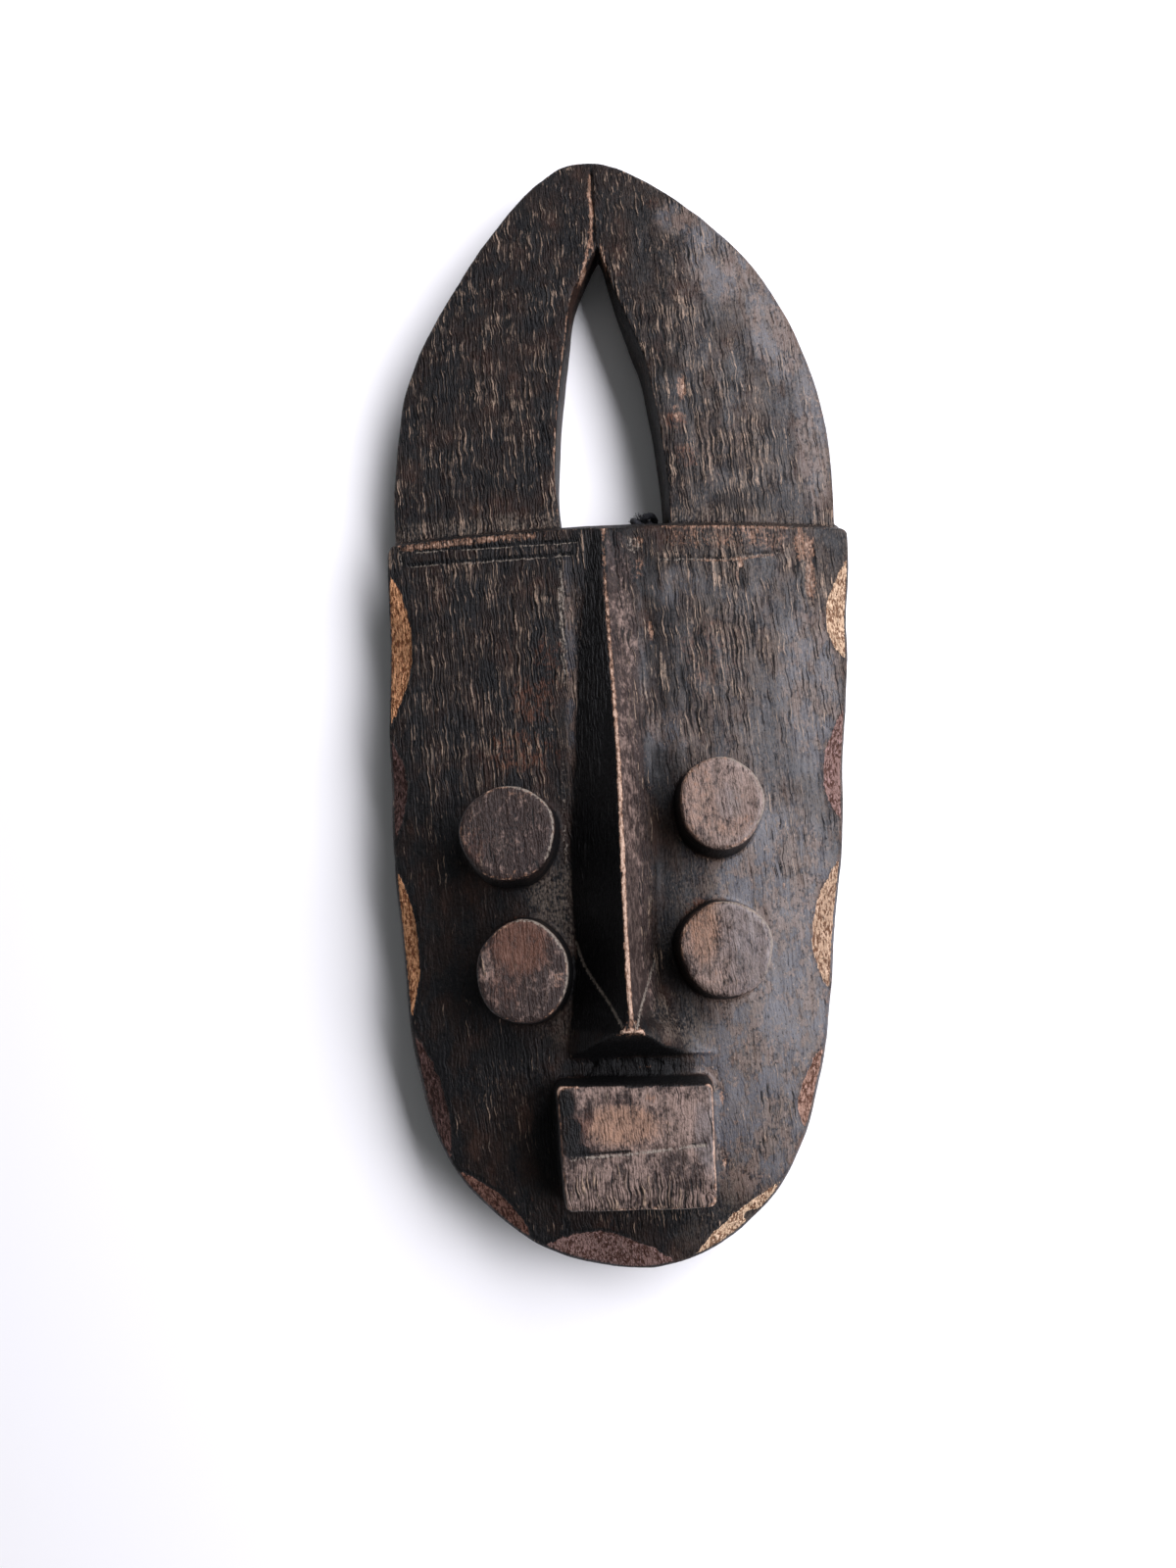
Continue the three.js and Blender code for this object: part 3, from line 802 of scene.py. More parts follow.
def show(name: str, mesh: bpy.types.Mesh, material: bpy.types.Material | None = None) -> bpy.types.Object:
    """Links a mesh into the scene as an object of that name, in a material.

    Args:
        name: The object's name.
        mesh: Its mesh.
        material: Its material, if it gets one.

    Returns:
        The object.
    """
    if material:
        mesh.materials.append(material)
    thing = bpy.data.objects.new(name, mesh)
    bpy.context.scene.collection.objects.link(thing)
    return thing


def read(items: bpy.types.bpy_prop_collection, name: str, width: int, kind: type = np.float32) -> Array:
    """One property of all items, in a row for each.

    Args:
        items: Vertices, edges or the like.
        name: The property.
        width: How many numbers it has.
        kind: Their type.

    Returns:
        The numbers, items by width.
    """
    values = np.empty(len(items) * width, kind)
    items.foreach_get(name, values)
    return values.reshape(-1, width)


@dataclass(frozen=True)
class Value:
    """A number or colour on its way through a node tree; a sum on it adds a Math node."""

    graph: "Graph"
    socket: bpy.types.NodeSocket

    def __add__(self, other: object) -> "Value":
        """The sum of both."""
        return self.graph.maths("ADD", self, other)

    def __radd__(self, other: float) -> "Value":
        """The sum of both."""
        return self.graph.maths("ADD", other, self)

    def __sub__(self, other: object) -> "Value":
        """The value less another."""
        return self.graph.maths("SUBTRACT", self, other)

    def __rsub__(self, other: float) -> "Value":
        """A number less the value."""
        return self.graph.maths("SUBTRACT", other, self)

    def __mul__(self, other: object) -> "Value":
        """The product of both."""
        return self.graph.maths("MULTIPLY", self, other)

    def step(self, low: object, high: object, top: object = 1.0) -> "Value":
        """A smooth step from 0 at low to top at high.

        Args:
            low: Where it starts.
            high: Where it ends.
            top: What it reaches.

        Returns:
            The step as a value of the tree.
        """
        made = self.graph.node("ShaderNodeMapRange", interpolation_type="SMOOTHSTEP")
        for name, given in (("Value", self), ("From Min", low), ("From Max", high), ("To Max", top)):
            self.graph.feed(made.inputs[name], given)
        return Value(self.graph, made.outputs["Result"])


@dataclass(frozen=True)
class Graph:
    """Adds nodes to one node tree and joins them."""

    tree: Tree

    def node(self, kind: str, **settings: object) -> bpy.types.Node:
        """A new node with its settings.

        Args:
            kind: The node's type.
            settings: Its properties by name.

        Returns:
            The node.
        """
        made = self.tree.nodes.new(kind)
        for key, value in settings.items():
            setattr(made, key, value)
        return made

    def feed(self, socket: bpy.types.NodeSocket, value: object) -> None:
        """Joins a socket to a value of the tree, or sets its own value.

        Args:
            socket: The input socket.
            value: A value of the tree, a number, a vector or a colour.
        """
        if isinstance(value, Value):
            self.tree.links.new(value.socket, socket)
        elif isinstance(value, tuple) and socket.type == "RGBA":
            socket.default_value = (*value, 1.0)
        else:
            socket.default_value = value

    def joined(self, kind: str, inputs: dict, output: int | str = 0, **settings: object) -> Value:
        """One output of a new node with its inputs fed.

        Args:
            kind: The node's type.
            inputs: What goes into its sockets, by number or name.
            output: Number or name of the output.
            settings: Its properties by name.

        Returns:
            That output.
        """
        made = self.node(kind, **settings)
        for key, value in inputs.items():
            self.feed(made.inputs[key], value)
        return Value(self, made.outputs[output])

    def maths(self, operation: str, a: object, b: object, clamp: bool = False) -> Value:
        """The result of one sum on two values."""
        return self.joined("ShaderNodeMath", {0: a, 1: b}, operation=operation, use_clamp=clamp)

    def vector(self, operation: str, a: object, b: object) -> Value:
        """The result of one sum on vectors."""
        second = "Scale" if operation == "SCALE" else 1
        return self.joined("ShaderNodeVectorMath", {0: a, second: b}, operation=operation)

    def mix(self, share: object, a: object, b: object, blend: str = "MIX") -> Value:
        """Two colours mixed."""
        return self.joined("ShaderNodeMix", {0: share, 6: a, 7: b}, 2, data_type="RGBA", blend_type=blend)

    def layered(self, colour: object, *layers: tuple[Value, object]) -> Value:
        """A colour with others laid over it, each through its own mask.

        Args:
            colour: The lowest colour.
            layers: The mask and the colour of each layer, from below.

        Returns:
            The colour that shows.
        """
        for mask, tone in layers:
            colour = self.mix(mask, colour, tone)
        return colour

    def noise(self, place: Value, sizes: Triple, detail: float = 2.0, roughness: float = 0.5) -> Value:
        """Noise of the given sizes along each axis, from 0 to 1.

        Args:
            place: Coordinates.
            sizes: Size of its features along each axis.
            detail: How many finer sizes are added.
            roughness: How strong the finer ones are.

        Returns:
            The noise.
        """
        inputs = {"Vector": self.vector("DIVIDE", place, sizes), "Scale": 1.0}
        inputs |= {"Detail": detail, "Roughness": roughness}
        return self.joined("ShaderNodeTexNoise", inputs, noise_dimensions="3D")

    def attribute(self, name: str) -> Value:
        """The colour kept in one of the mesh's attributes."""
        kind = "ShaderNodeAttribute"
        return self.joined(kind, {}, "Color", attribute_type="GEOMETRY", attribute_name=name)

    def channels(self, name: str) -> list[Value]:
        """The three values kept in a colour attribute.

        Args:
            name: The attribute's name.

        Returns:
            The values.
        """
        parts = self.node("ShaderNodeSeparateColor")
        self.feed(parts.inputs[0], self.attribute(name))
        return [Value(self, socket) for socket in parts.outputs]

    def millimetres(self) -> Value:
        """The object's own coordinates in millimetres."""
        return self.vector("SCALE", self.joined("ShaderNodeTexCoord", {}, "Object"), 1 / METRES)

    def group(self, tree: Tree, **inputs: object) -> dict[str, Value]:
        """A node group with its inputs fed, as its outputs by name.

        Args:
            tree: The group.
            inputs: What goes into its sockets, by name.

        Returns:
            The group's outputs.
        """
        made = self.node("ShaderNodeGroup", node_tree=tree)
        for name, value in inputs.items():
            self.feed(made.inputs[name], value)
        return {socket.name: Value(self, socket) for socket in made.outputs}

    def bump(self, height: Value, distance: float) -> Value:
        """A normal that shows a height."""
        return self.joined("ShaderNodeBump", {"Height": height, "Distance": distance})


def new_group(name: str, inputs: dict[str, float], outputs: list[str]) -> tuple[Graph, dict, dict]:
    """Starts a shader node group that works on coordinates in millimetres.

    Args:
        name: Its name.
        inputs: Its other inputs by name, with their first values.
        outputs: Names of the values that it puts out.

    Returns:
        Its graph, its inputs as values by name, and its output sockets by name.
    """
    tree = bpy.data.node_groups.new(name, "ShaderNodeTree")
    tree.interface.new_socket(name="Millimetres", in_out="INPUT", socket_type="NodeSocketVector")
    for label, value in inputs.items():
        socket = tree.interface.new_socket(name=label, in_out="INPUT", socket_type="NodeSocketFloat")
        socket.default_value = value
    for label in outputs:
        tree.interface.new_socket(name=label, in_out="OUTPUT", socket_type="NodeSocketFloat")
    graph = Graph(tree)
    entry, leave = graph.node("NodeGroupInput"), graph.node("NodeGroupOutput")
    return graph, {s.name: Value(graph, s) for s in entry.outputs}, {s.name: s for s in leave.inputs}


def fibre_group() -> Tree:
    """Short leaning fibres in rows across the grain, where the blade tore them out.

    Returns:
        A group that puts out a mask of the pale fibres, a mask of the grooves beside them for painted
        shade, and a height.
    """
    graph, given, result = new_group("wood fibres", {"Amount": 0.5}, ["Fibres", "Grooves", "Height"])
    position = given["Millimetres"]
    along = graph.joined("ShaderNodeSeparateXYZ", {0: position}, 1)
    sway = graph.noise(position, (8.0, 6.0, 9.0), 1.5) - 0.5
    shift = graph.joined("ShaderNodeCombineXYZ", {"X": along * 0.07 + sway * 2.6})
    moved = graph.vector("ADD", position, shift)
    long_grain = graph.noise(moved, (0.74, 17.5, 1.2), 1.0)
    short_grain = graph.noise(moved, (0.56, 4.4, 0.8), 1.0)
    rows = graph.noise(position, (16.0, 5.0, 16.0), 1.0)
    clumps = graph.noise(position, (12.0, 17.0, 12.0))
    level = 0.735 - given["Amount"] * 0.125 - (clumps - 0.5) * 0.26 + rows.step(0.58, 0.40, 0.05)
    torn = long_grain.step(level, level + 0.055)
    short = level + 0.015
    flecks = short_grain.step(short, short + 0.05, 0.5)
    dark = 1.035 - level
    graph.feed(result["Fibres"], graph.maths("MAXIMUM", torn, flecks))
    graph.feed(result["Grooves"], long_grain.step(dark, dark - 0.07))
    graph.feed(result["Height"], long_grain + short_grain * 0.4)
    return graph.tree


def dust_group() -> Tree:
    """Fine pale dust and rubbed spots.

    Returns:
        A group that puts out a mask.
    """
    graph, given, result = new_group("settled dust", {"Amount": 0.3, "Spots": 0.5}, ["Dust"])
    cloud = graph.noise(given["Millimetres"], (9.0, 15.0, 9.0), 4.0, 0.7)
    specks = graph.noise(given["Millimetres"], (0.8, 1.3, 0.8))
    veil = (cloud + (specks - 0.5) * 1.1).step(0.36, 0.70, given["Amount"])
    spots = specks.step(0.68, 0.73) * given["Spots"]
    graph.feed(result["Dust"], graph.maths("ADD", veil, spots * given["Amount"], True))
    return graph.tree


def new_material(name: str) -> tuple[bpy.types.Material, Graph, bpy.types.bpy_prop_collection]:
    """A new material, its graph and the inputs of its Principled BSDF.

    Args:
        name: The material's name.

    Returns:
        All three.
    """
    made = bpy.data.materials.new(name)
    made.use_nodes = True
    return made, Graph(made.node_tree), made.node_tree.nodes["Principled BSDF"].inputs


@dataclass(frozen=True)
class WoodFinish:
    """Colours of the stained and worn wood, as linear colour."""

    stain: Colour = (0.0022, 0.0024, 0.0033)
    brown: Colour = (0.0072, 0.0034, 0.0026)
    umber: Colour = (0.028, 0.0125, 0.0080)
    fibre: Colour = (0.26, 0.184, 0.134)
    russet: Colour = (0.085, 0.031, 0.0155)
    # Painted sheen for the lit right side.
    painted_sheen: Colour = (0.054, 0.053, 0.062)
    # Brown patches on the right side, painted lighter there: partly real brown, partly painted light.
    painted_light_brown: Colour = (0.104, 0.070, 0.056)
    # Dark stain and painted shade.
    soot_and_shade: Colour = (0.0018, 0.0018, 0.0021)
    taupe: Colour = (0.026, 0.0165, 0.0145)
    pale_taupe: Colour = (0.225, 0.158, 0.132)
    rosy: Colour = (0.110, 0.046, 0.028)
    amber: Colour = (0.290, 0.160, 0.098)
    # Painted sheen on the fronts on the right side.
    painted_sheen_blue: Colour = (0.120, 0.112, 0.118)
    tan: Colour = (0.30, 0.215, 0.155)
    # Pale scratches and painted highlights.
    chalk_and_highlight: Colour = (0.20, 0.17, 0.14)
    worn: Colour = (0.195, 0.104, 0.064)
    rubbed: Colour = (0.46, 0.32, 0.24)
    dust: Colour = (0.112, 0.087, 0.068)
    earthen: Colour = (0.17, 0.075, 0.030)
    lit: Colour = (1.45, 1.5, 1.6)
    bump_distance: float = 0.0011
    gloss: float = 0.2
    sheen_roughness: float = 0.36

    def material(self, fibre_tree: Tree, dust_tree: Tree) -> bpy.types.Material:
        """The material of the carved mask.

        Args:
            fibre_tree: The group that makes wood fibres.
            dust_tree: The group that makes dust.

        Returns:
            A material that reads the attributes that Dressing keeps.
        """
        made, graph, shader = new_material("stained_carved_wood")
        mix, place = graph.mix, graph.millimetres()
        worn, soot_and_shade, amount = graph.channels("worn_soot_and_shade_fibre")
        russet, painted_sheen, face = graph.channels("russet_painted_sheen_face")
        painted, chalk_and_highlight, dusty = graph.channels("painted_chalk_highlight_dust_light")
        pigment = graph.attribute("pigment")
        fibres, grooves, strands = graph.group(fibre_tree, Millimetres=place, Amount=amount).values()
        # Its amount also holds painted light that makes the right side lighter.
        veil = graph.group(dust_tree, Millimetres=place, Amount=0.06 + dusty)["Dust"]
        mottle = graph.noise(place, (3.0, 4.4, 3.0), 3.0, 0.65)
        pits = graph.noise(place, (0.9, 1.4, 0.9), 3.0, 0.6)
        crumbs = graph.noise(place, (0.85, 2.0, 0.85), 3.0, 0.62)
        streaks = graph.noise(place, (0.55, 7.0, 0.7), 1.0)
        blotch = graph.noise(place, (12.0, 19.0, 12.0), 4.0, 0.6)
        ragged, grit = mottle - 0.5, pits - 0.5

        red = (russet + ragged + grit).step(0.40, 0.80, 0.85)
        # Dark stain and painted shade.
        dark = (soot_and_shade + (ragged * 0.6 + grit * 0.5)).step(0.12, 0.68, 0.97)
        rub = worn + (ragged * 0.8 + grit * 1.1)
        crusty = (painted + (crumbs - 0.5) * 0.8).step(0.46, 0.56)
        chalk_highlight_mask = (chalk_and_highlight + grit * 1.3).step(0.40, 0.72, 0.9)
        pocked = pits.step(0.39, 0.32, 0.75) * painted_sheen.step(0.0, 0.3)
        wood = graph.layered(
            self.stain,
            (blotch.step(0.43, 0.53), self.brown),
            (blotch.step(0.54, 0.70, 0.8), self.umber),
            # Painted sheen: a cool grey on the right side, where the light falls.
            (painted_sheen.step(0.05, 0.60) * (blotch + ragged * 0.5).step(0.57, 0.42), self.painted_sheen),
            # Brown patches on the right side, made lighter there as painted light.
            ((blotch + (ragged + grit * 0.45)).step(0.46, 0.60, 0.9) * painted_sheen.step(0.05, 0.45), self.painted_light_brown),
            (red, self.russet),
        )
        bare = graph.layered(
            self.taupe,
            ((face + (ragged * 2.9 + grit * 1.6)).step(0.26, 1.40), self.pale_taupe),
            (
                (russet + (ragged * 1.3 + grit)).step(0.15, 1.05, 0.75),
                mix(face.step(0.5, 0.85), self.rosy, self.amber),
            ),
            # Painted sheen: bluish on the fronts on the right side.
            ((painted_sheen + ragged).step(0.30, 0.75, 0.6), self.painted_sheen_blue),
            (streaks.step(0.42, 0.34, 0.35), self.brown),
            (pits.step(0.35, 0.28, 0.7), self.brown),
        )
        crust = graph.layered(
            mix(0.84, pigment, self.earthen, "MULTIPLY"),
            ((crumbs - ragged * 0.7).step(0.40, 0.58), pigment),
            ((crumbs + ragged * 0.5).step(0.54, 0.70, 0.8), mix(1.0, pigment, self.lit, "MULTIPLY")),
        )
        shown = graph.layered(
            wood,
            ((face + grit * 0.5).step(0.06, 0.22), bare),
            (veil, self.dust),
            # Painted shade in the grain grooves beside the fibres.
            (grooves * 0.9, self.soot_and_shade),
            (
                fibres * pits.step(0.30, 0.50),
                graph.layered(self.fibre, (mottle.step(0.40, 0.62), self.dust), (red, self.worn)),
            ),
            (dark, self.soot_and_shade),
            (rub.step(0.34, 0.66, 0.85), self.worn),
            (rub.step(0.58, 0.94, 0.92), self.rubbed),
            (crusty, crust),
            # Pale scratches and painted highlights.
            (chalk_highlight_mask, self.chalk_and_highlight),
            (pits.step(0.37, 0.31, 0.7) * (painted_sheen - face).step(0.0, 0.3), self.stain),
            (pits.step(0.66, 0.70, 0.6) * painted_sheen.step(0.1, 0.5) * (1.0 - face), self.tan),
        )
        uneven = strands + (ragged + grit) * 0.5 + (0.5 - blotch) * 0.9
        sheen = (uneven + painted_sheen * 0.3).step(0.45, 1.10, 0.62) * (0.18 + painted_sheen.step(0.0, 0.35, 0.82))
        for mask, loss in (
            (grooves, 0.85), (dark, 0.75), (crusty, 0.9), (fibres, 0.35), (veil, 0.6), (chalk_highlight_mask, 0.7),
            (pocked, 0.9),
        ):
            sheen = sheen * (1.0 - mask * loss)
        relief = strands * (0.2 + amount) + crumbs * painted * 1.7
        relief = relief + fibres * 0.35 + pits * 0.5 + mottle * 0.45
        graph.feed(shader["Base Color"], shown)
        rough = 0.46 + fibres * 0.2 + crusty * 0.4
        graph.feed(shader["Roughness"], graph.maths("ADD", rough, mottle * 0.2, True))
        graph.feed(shader["Coat Weight"], sheen)
        graph.feed(shader["Normal"], graph.bump(relief, self.bump_distance))
        shader["Coat Roughness"].default_value = self.sheen_roughness
        shader["Specular IOR Level"].default_value = self.gloss
        return made


@dataclass(frozen=True)
class CordFinish:
    """The black twisted cord, a little dusty."""

    black: Colour = (0.010, 0.011, 0.016)
    faded: Colour = (0.045, 0.047, 0.056)
    dust: Colour = (0.20, 0.19, 0.18)
    roughness: float = 0.95
    finer: float = 3.0
    bump_distance: float = 0.0002

    def material(self, fibre_tree: Tree, dust_tree: Tree) -> bpy.types.Material:
        """The material of the cord and its knot.

        Args:
            fibre_tree: The group that makes fibres.
            dust_tree: The group that makes dust.

        Returns:
            The material.
        """
        made, graph, shader = new_material("black_cord")
        place = graph.millimetres()
        threads = graph.group(fibre_tree, Millimetres=graph.vector("SCALE", place, self.finer), Amount=0.8)
        veil = graph.group(dust_tree, Millimetres=place, Amount=0.12)["Dust"]
        colour = graph.layered(self.black, (threads["Fibres"], self.faded), (veil, self.dust))
        graph.feed(shader["Base Color"], colour)
        graph.feed(shader["Normal"], graph.bump(threads["Height"], self.bump_distance))
        shader["Roughness"].default_value = self.roughness
        return made


def convexity(place: Array, normals: Array, pairs: Array) -> Array:
    """How sharply a skin bends at each vertex.

    Args:
        place: Its vertices.
        normals: Their normals.
        pairs: The two vertices of each edge.

    Returns:
        Values that are positive on edges and negative in grooves.
    """
    count = len(place)
    apart = place[pairs[:, 1]] - place[pairs[:, 0]]
    square = np.maximum(np.einsum("ij,ij->i", apart, apart), 1e-6)
    total, uses = np.zeros(count), np.zeros(count)
    for k, sign in ((0, -1.0), (1, 1.0)):
        bend = sign * np.einsum("ij,ij->i", normals[pairs[:, k]], apart) / square
        total += np.bincount(pairs[:, k], bend, count)
        uses += np.bincount(pairs[:, k], minlength=count)
    value = total / np.maximum(uses, 1)
    for _ in range(2):
        around = sum(np.bincount(pairs[:, k], value[pairs[:, 1 - k]], count) for k in (0, 1))
        value = 0.5 * value + 0.5 * around / np.maximum(uses, 1)
    return value


@dataclass(frozen=True)
class Skin(Plan):
    """The vertices of the finished skin in millimetres, and how it lies there.

    over is the height over the plate, and rim the signed distance from the plate's outline.
    """

    z: Array
    over: Array
    rim: Array
    normals: Array
    convex: Array

    @classmethod
    def of(cls, mesh: bpy.types.Mesh, plate: FacePlate) -> "Skin":
        """Reads a mesh.

        Args:
            mesh: The skin, in the frame.
            plate: The plate that its heights are measured from.

        Returns:
            Its vertices.
        """
        place = read(mesh.vertices, "co", 3) / METRES - MIDLINE
        normals = read(mesh.vertex_normals, "vector", 3)
        bends = convexity(place, normals, read(mesh.edges, "vertices", 2, np.int32))
        x, y, z = place.T
        at = Plan(x, y)
        return cls(x, y, z, z - plate.height(at), at.loop(plate.loop()), normals, bends)

    def faces_up(self) -> Array:
        """Where it faces up on the front."""
        return rise(self.normals[:, 2], 0.2, 0.6) * (self.z > 14)


@dataclass(frozen=True)
class CarvedMask:
    """The whole carving: it joins the forms and cuts them."""

    plate: FacePlate = FacePlate()
    horns: Horns = Horns()
    window: HornWindow = HornWindow()
    nose: Nose = Nose()
    pegs: tuple[EyePeg, ...] = (
        EyePeg(-38.3, -65, 16.9, 17.1, 0.20), EyePeg(-34.1, -114.3, 16.1, 18, 0.28),
        EyePeg(38.7, -57, 15, 16.7, 1.0), EyePeg(37.7, -108.8, 16.2, 16.7, 0.84),
    )
    mouth: MouthBlock = MouthBlock()
    crescents: RimCrescents = RimCrescents()
    hollow: HollowBack = HollowBack()
    lines: KnifeLines = KnifeLines()
    block: FieldBlock = FieldBlock()
    bore: Triple = (18, 12, 4.2)
    bore_span: Pair = (36, 64)
    rim_wear: float = 2.2
    rim_growth: float = 0.6
    most_triangles: int = 194000
    front_share: float = 0.8
    front_care: float = 0.00002
    scars: Patches = (
        (53.7, 33.4, 1.3, 6, 0.9), (79.8, 46, 4, 8, 0.5), (81.2, 33, 2.2, 13, 0.6),
        (34.6, 116.9, 1.8, 6, 0.4), (35.6, -162.1, 1.4, 3.4, 0.5), (35.7, -185.3, 1.4, 2.2, 0.4),
        (17.2, 12.3, 1.4, 6, 0.4), (-13, -140, 2.4, 3, 0.8), (12.5, 46, 4.5, 6, 0.35),
        (-10.8, -148.5, 2.2, 1.4, 1.3), (12.4, -148.8, 2.6, 1.3, 1.1),
    )

    def torn_grain(self, at: Plan) -> Array:
        """How much torn grain shows: most on the horns and high on the plate.

        Args:
            at: Places on the plan.

        Returns:
            Amounts from 0 to 1.4.
        """
        smooth = at.covered(
            (60, -125, 42, 75, 0.5), (68, -15, 24, 45, 0.15), (76, 160, 26, 30, 0.7),
            (-40, -90, 30, 60, 0.55), (86, 105, 14, 40, 0.5), (7, 57, 24, 4, 0.9),
        )
        torn = at.covered(
            (-35, -160, 22, 20, 0.45), (55, -172, 16, 16, 0.6), (4, -203, 26, 6, 0.8),
            (56, -66, 22, 20, 0.5), (-58, -45, 22, 30, 0.4), (48, 88, 30, 34, 0.5),
            (-36, -34, 18, 14, 0.6), (34, 135, 18, 30, 0.25), (45, 10, 26, 40, 0.35),
        )
        return np.clip((0.35 + 0.65 * rise(at.y, -75, -10)) * (1 - smooth) + torn, 0, 1.4)

    def front(self, at: Plan) -> Array:
        """The carved front without the pegs and the mouth, with tool marks and cut lines.

        Args:
            at: Places on the plan.

        Returns:
            Heights above the back rim.
        """
        plate, horns, nose, x, y = self.plate, self.horns, self.nose, at.x, at.y
        ground, ridge = plate.height(at), nose.height(at, plate)
        soft = 0.5 + 5.0 * rise(x - nose.ridge_x(y), 2, 6)
        top = np.where(ridge > 0, larger(ground, np.maximum(ridge, ground - 4), soft), ground)
        top = np.where(y > plate.step_y - 6, np.minimum(top, plate.bevel(at)), top)
        top = np.where(y > plate.step_y + plate.bevel_run, nose.outside, top)
        top = np.where(y > horns.root_y, np.maximum(top, horns.height(at)), top)
        plain = 1 - np.maximum(0.75 * rise(ridge - ground, 0.5, 3), 0.8 * band(y, 57.4, 1.6, 2.6))
        adze = 0.30 * at.noise(13, 22, 11, 2) + 0.10 * at.noise(4, 9, 12)
        grain = at.moved(0.8 * at.noise(7, 6, 14), 0).noise(2.1, 9, 13)
        torn = np.maximum(0, grain - 0.1) * self.torn_grain(at)
        chisel = fade(np.hypot((x - 3) / 26, (y + 150) / 4.2), 0.8, 1.2)
        top = top + adze * plain - 0.30 * torn * plain - 0.9 * chisel * np.abs(at.noise(2.6, 3.4, 15, 2))
        top = top - self.lines.depth_at(at) - at.covered(*self.scars)
        for path, depth in ((nose.nostril_left, 0.5), (nose.nostril_right, 0.7)):
            top = top - depth * fade(at.line(*path), 0, 1.1)
        return np.minimum(top, self.crescents.cut(at, plate)[0])

    def solid(self) -> Array:
        """The whole solid over the block.

        Returns:
            Its field, negative inside.
        """
        axes, hollow, window = self.block.axes(), self.hollow, self.window
        xs, ys, zs = axes
        at, z = Plan(xs[:, None], ys[None, :]), zs[None, None, :]
        wobble = 0.22 * at.noise(11, 13, 21, 2)
        top = self.front(at)
        fall = np.hypot(*np.gradient(top, *self.block.step[:2]))
        keep = tall(1 / np.hypot(1, np.minimum(fall, 2.5)))
        sides = (
            tall(at.loop(form.loop()) + wobble - self.rim_growth) + form.inset(zs).astype(np.float32)
            for form in (self.plate, self.horns)
        )
        solid = larger(smaller(*sides, 0.6), (z - tall(top)) * keep, self.rim_wear)
        for stud in (*self.pegs, self.mouth):
            stud.join(solid, axes, *stud.reach())
        inset = np.interp(zs, hollow.corner_height, hollow.corner_inset).astype(np.float32)
        inner = tall(hollow.distance(at, self.plate)) + inset
        inner = larger(inner, z - tall(hollow.ceiling(at, self.plate)), 3.0)
        solid = larger(solid, -inner, 1.4)
        front_edge, back_edge = (tall(distance) for distance in window.distances(at))
        share = (z - window.back_height) / (window.front_height - window.back_height)
        opening = back_edge + (front_edge - back_edge) * share + tall(wobble)
        solid = larger(solid, -opening, window.worn)
        solid = larger(solid, tall(self.horns.back(at.y)) - z, 1.2)
        solid = larger(solid, -z, 0.8)
        bore_x, bore_z, radius = self.bore
        bore = np.hypot(at.x[:, :, None] - bore_x, z - bore_z) - radius
        ends = np.maximum(self.bore_span[0] - at.y, at.y - self.bore_span[1])[:, :, None]
        return larger(solid, -np.maximum(bore, ends), 0.8)

    def skin(self) -> bpy.types.Mesh:
        """The skin, with most of its triangles in front.

        Returns:
            A mesh in the frame.
        """
        points, quads = self.block.skin(self.solid())
        mesh = make_mesh("full_skin", to_frame(points), quads)
        full = show("full_skin", mesh)
        x, y, z = points.T
        hidden = (z < 19.5) & (z < self.plate.height(Plan(x, y)) - 7) | (z < self.horns.back(y) + 1.5)
        group = full.vertex_groups.new(name="plain")
        for chosen, weight in ((hidden, 1.0), (~hidden, self.front_share)):
            group.add(np.flatnonzero(chosen).tolist(), weight, "REPLACE")
        thin = full.modifiers.new("thin", "DECIMATE")
        thin.ratio = self.most_triangles / (2 * len(quads))
        thin.vertex_group = group.name
        thin.vertex_group_factor = self.front_care
        shaped = bpy.data.meshes.new_from_object(full.evaluated_get(bpy.context.evaluated_depsgraph_get()))
        LOG.info("skin of %d quads thinned to %d faces", len(quads), len(shaped.polygons))
        bpy.data.objects.remove(full)
        bpy.data.meshes.remove(mesh)
        return shaped

    def build(self, material: bpy.types.Material) -> bpy.types.Object:
        """Builds the carving and puts it in place of its plain solid.

        Args:
            material: The dressed wood.

        Returns:
            The mask.
        """
        mesh = self.skin()
        low, high = (np.array(corner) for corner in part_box("carved_mask"))
        points = np.clip(read(mesh.vertices, "co", 3), low, high)
        mesh.vertices.foreach_set("co", points.astype(np.float32).ravel())
        mesh.update()
        Dressing(self, Skin.of(mesh, self.plate)).keep(mesh)
        mask = show("mask_carving", mesh, material)
        mesh.shade_smooth()
        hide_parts("carved_mask")
        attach(mask, "root")
        return mask


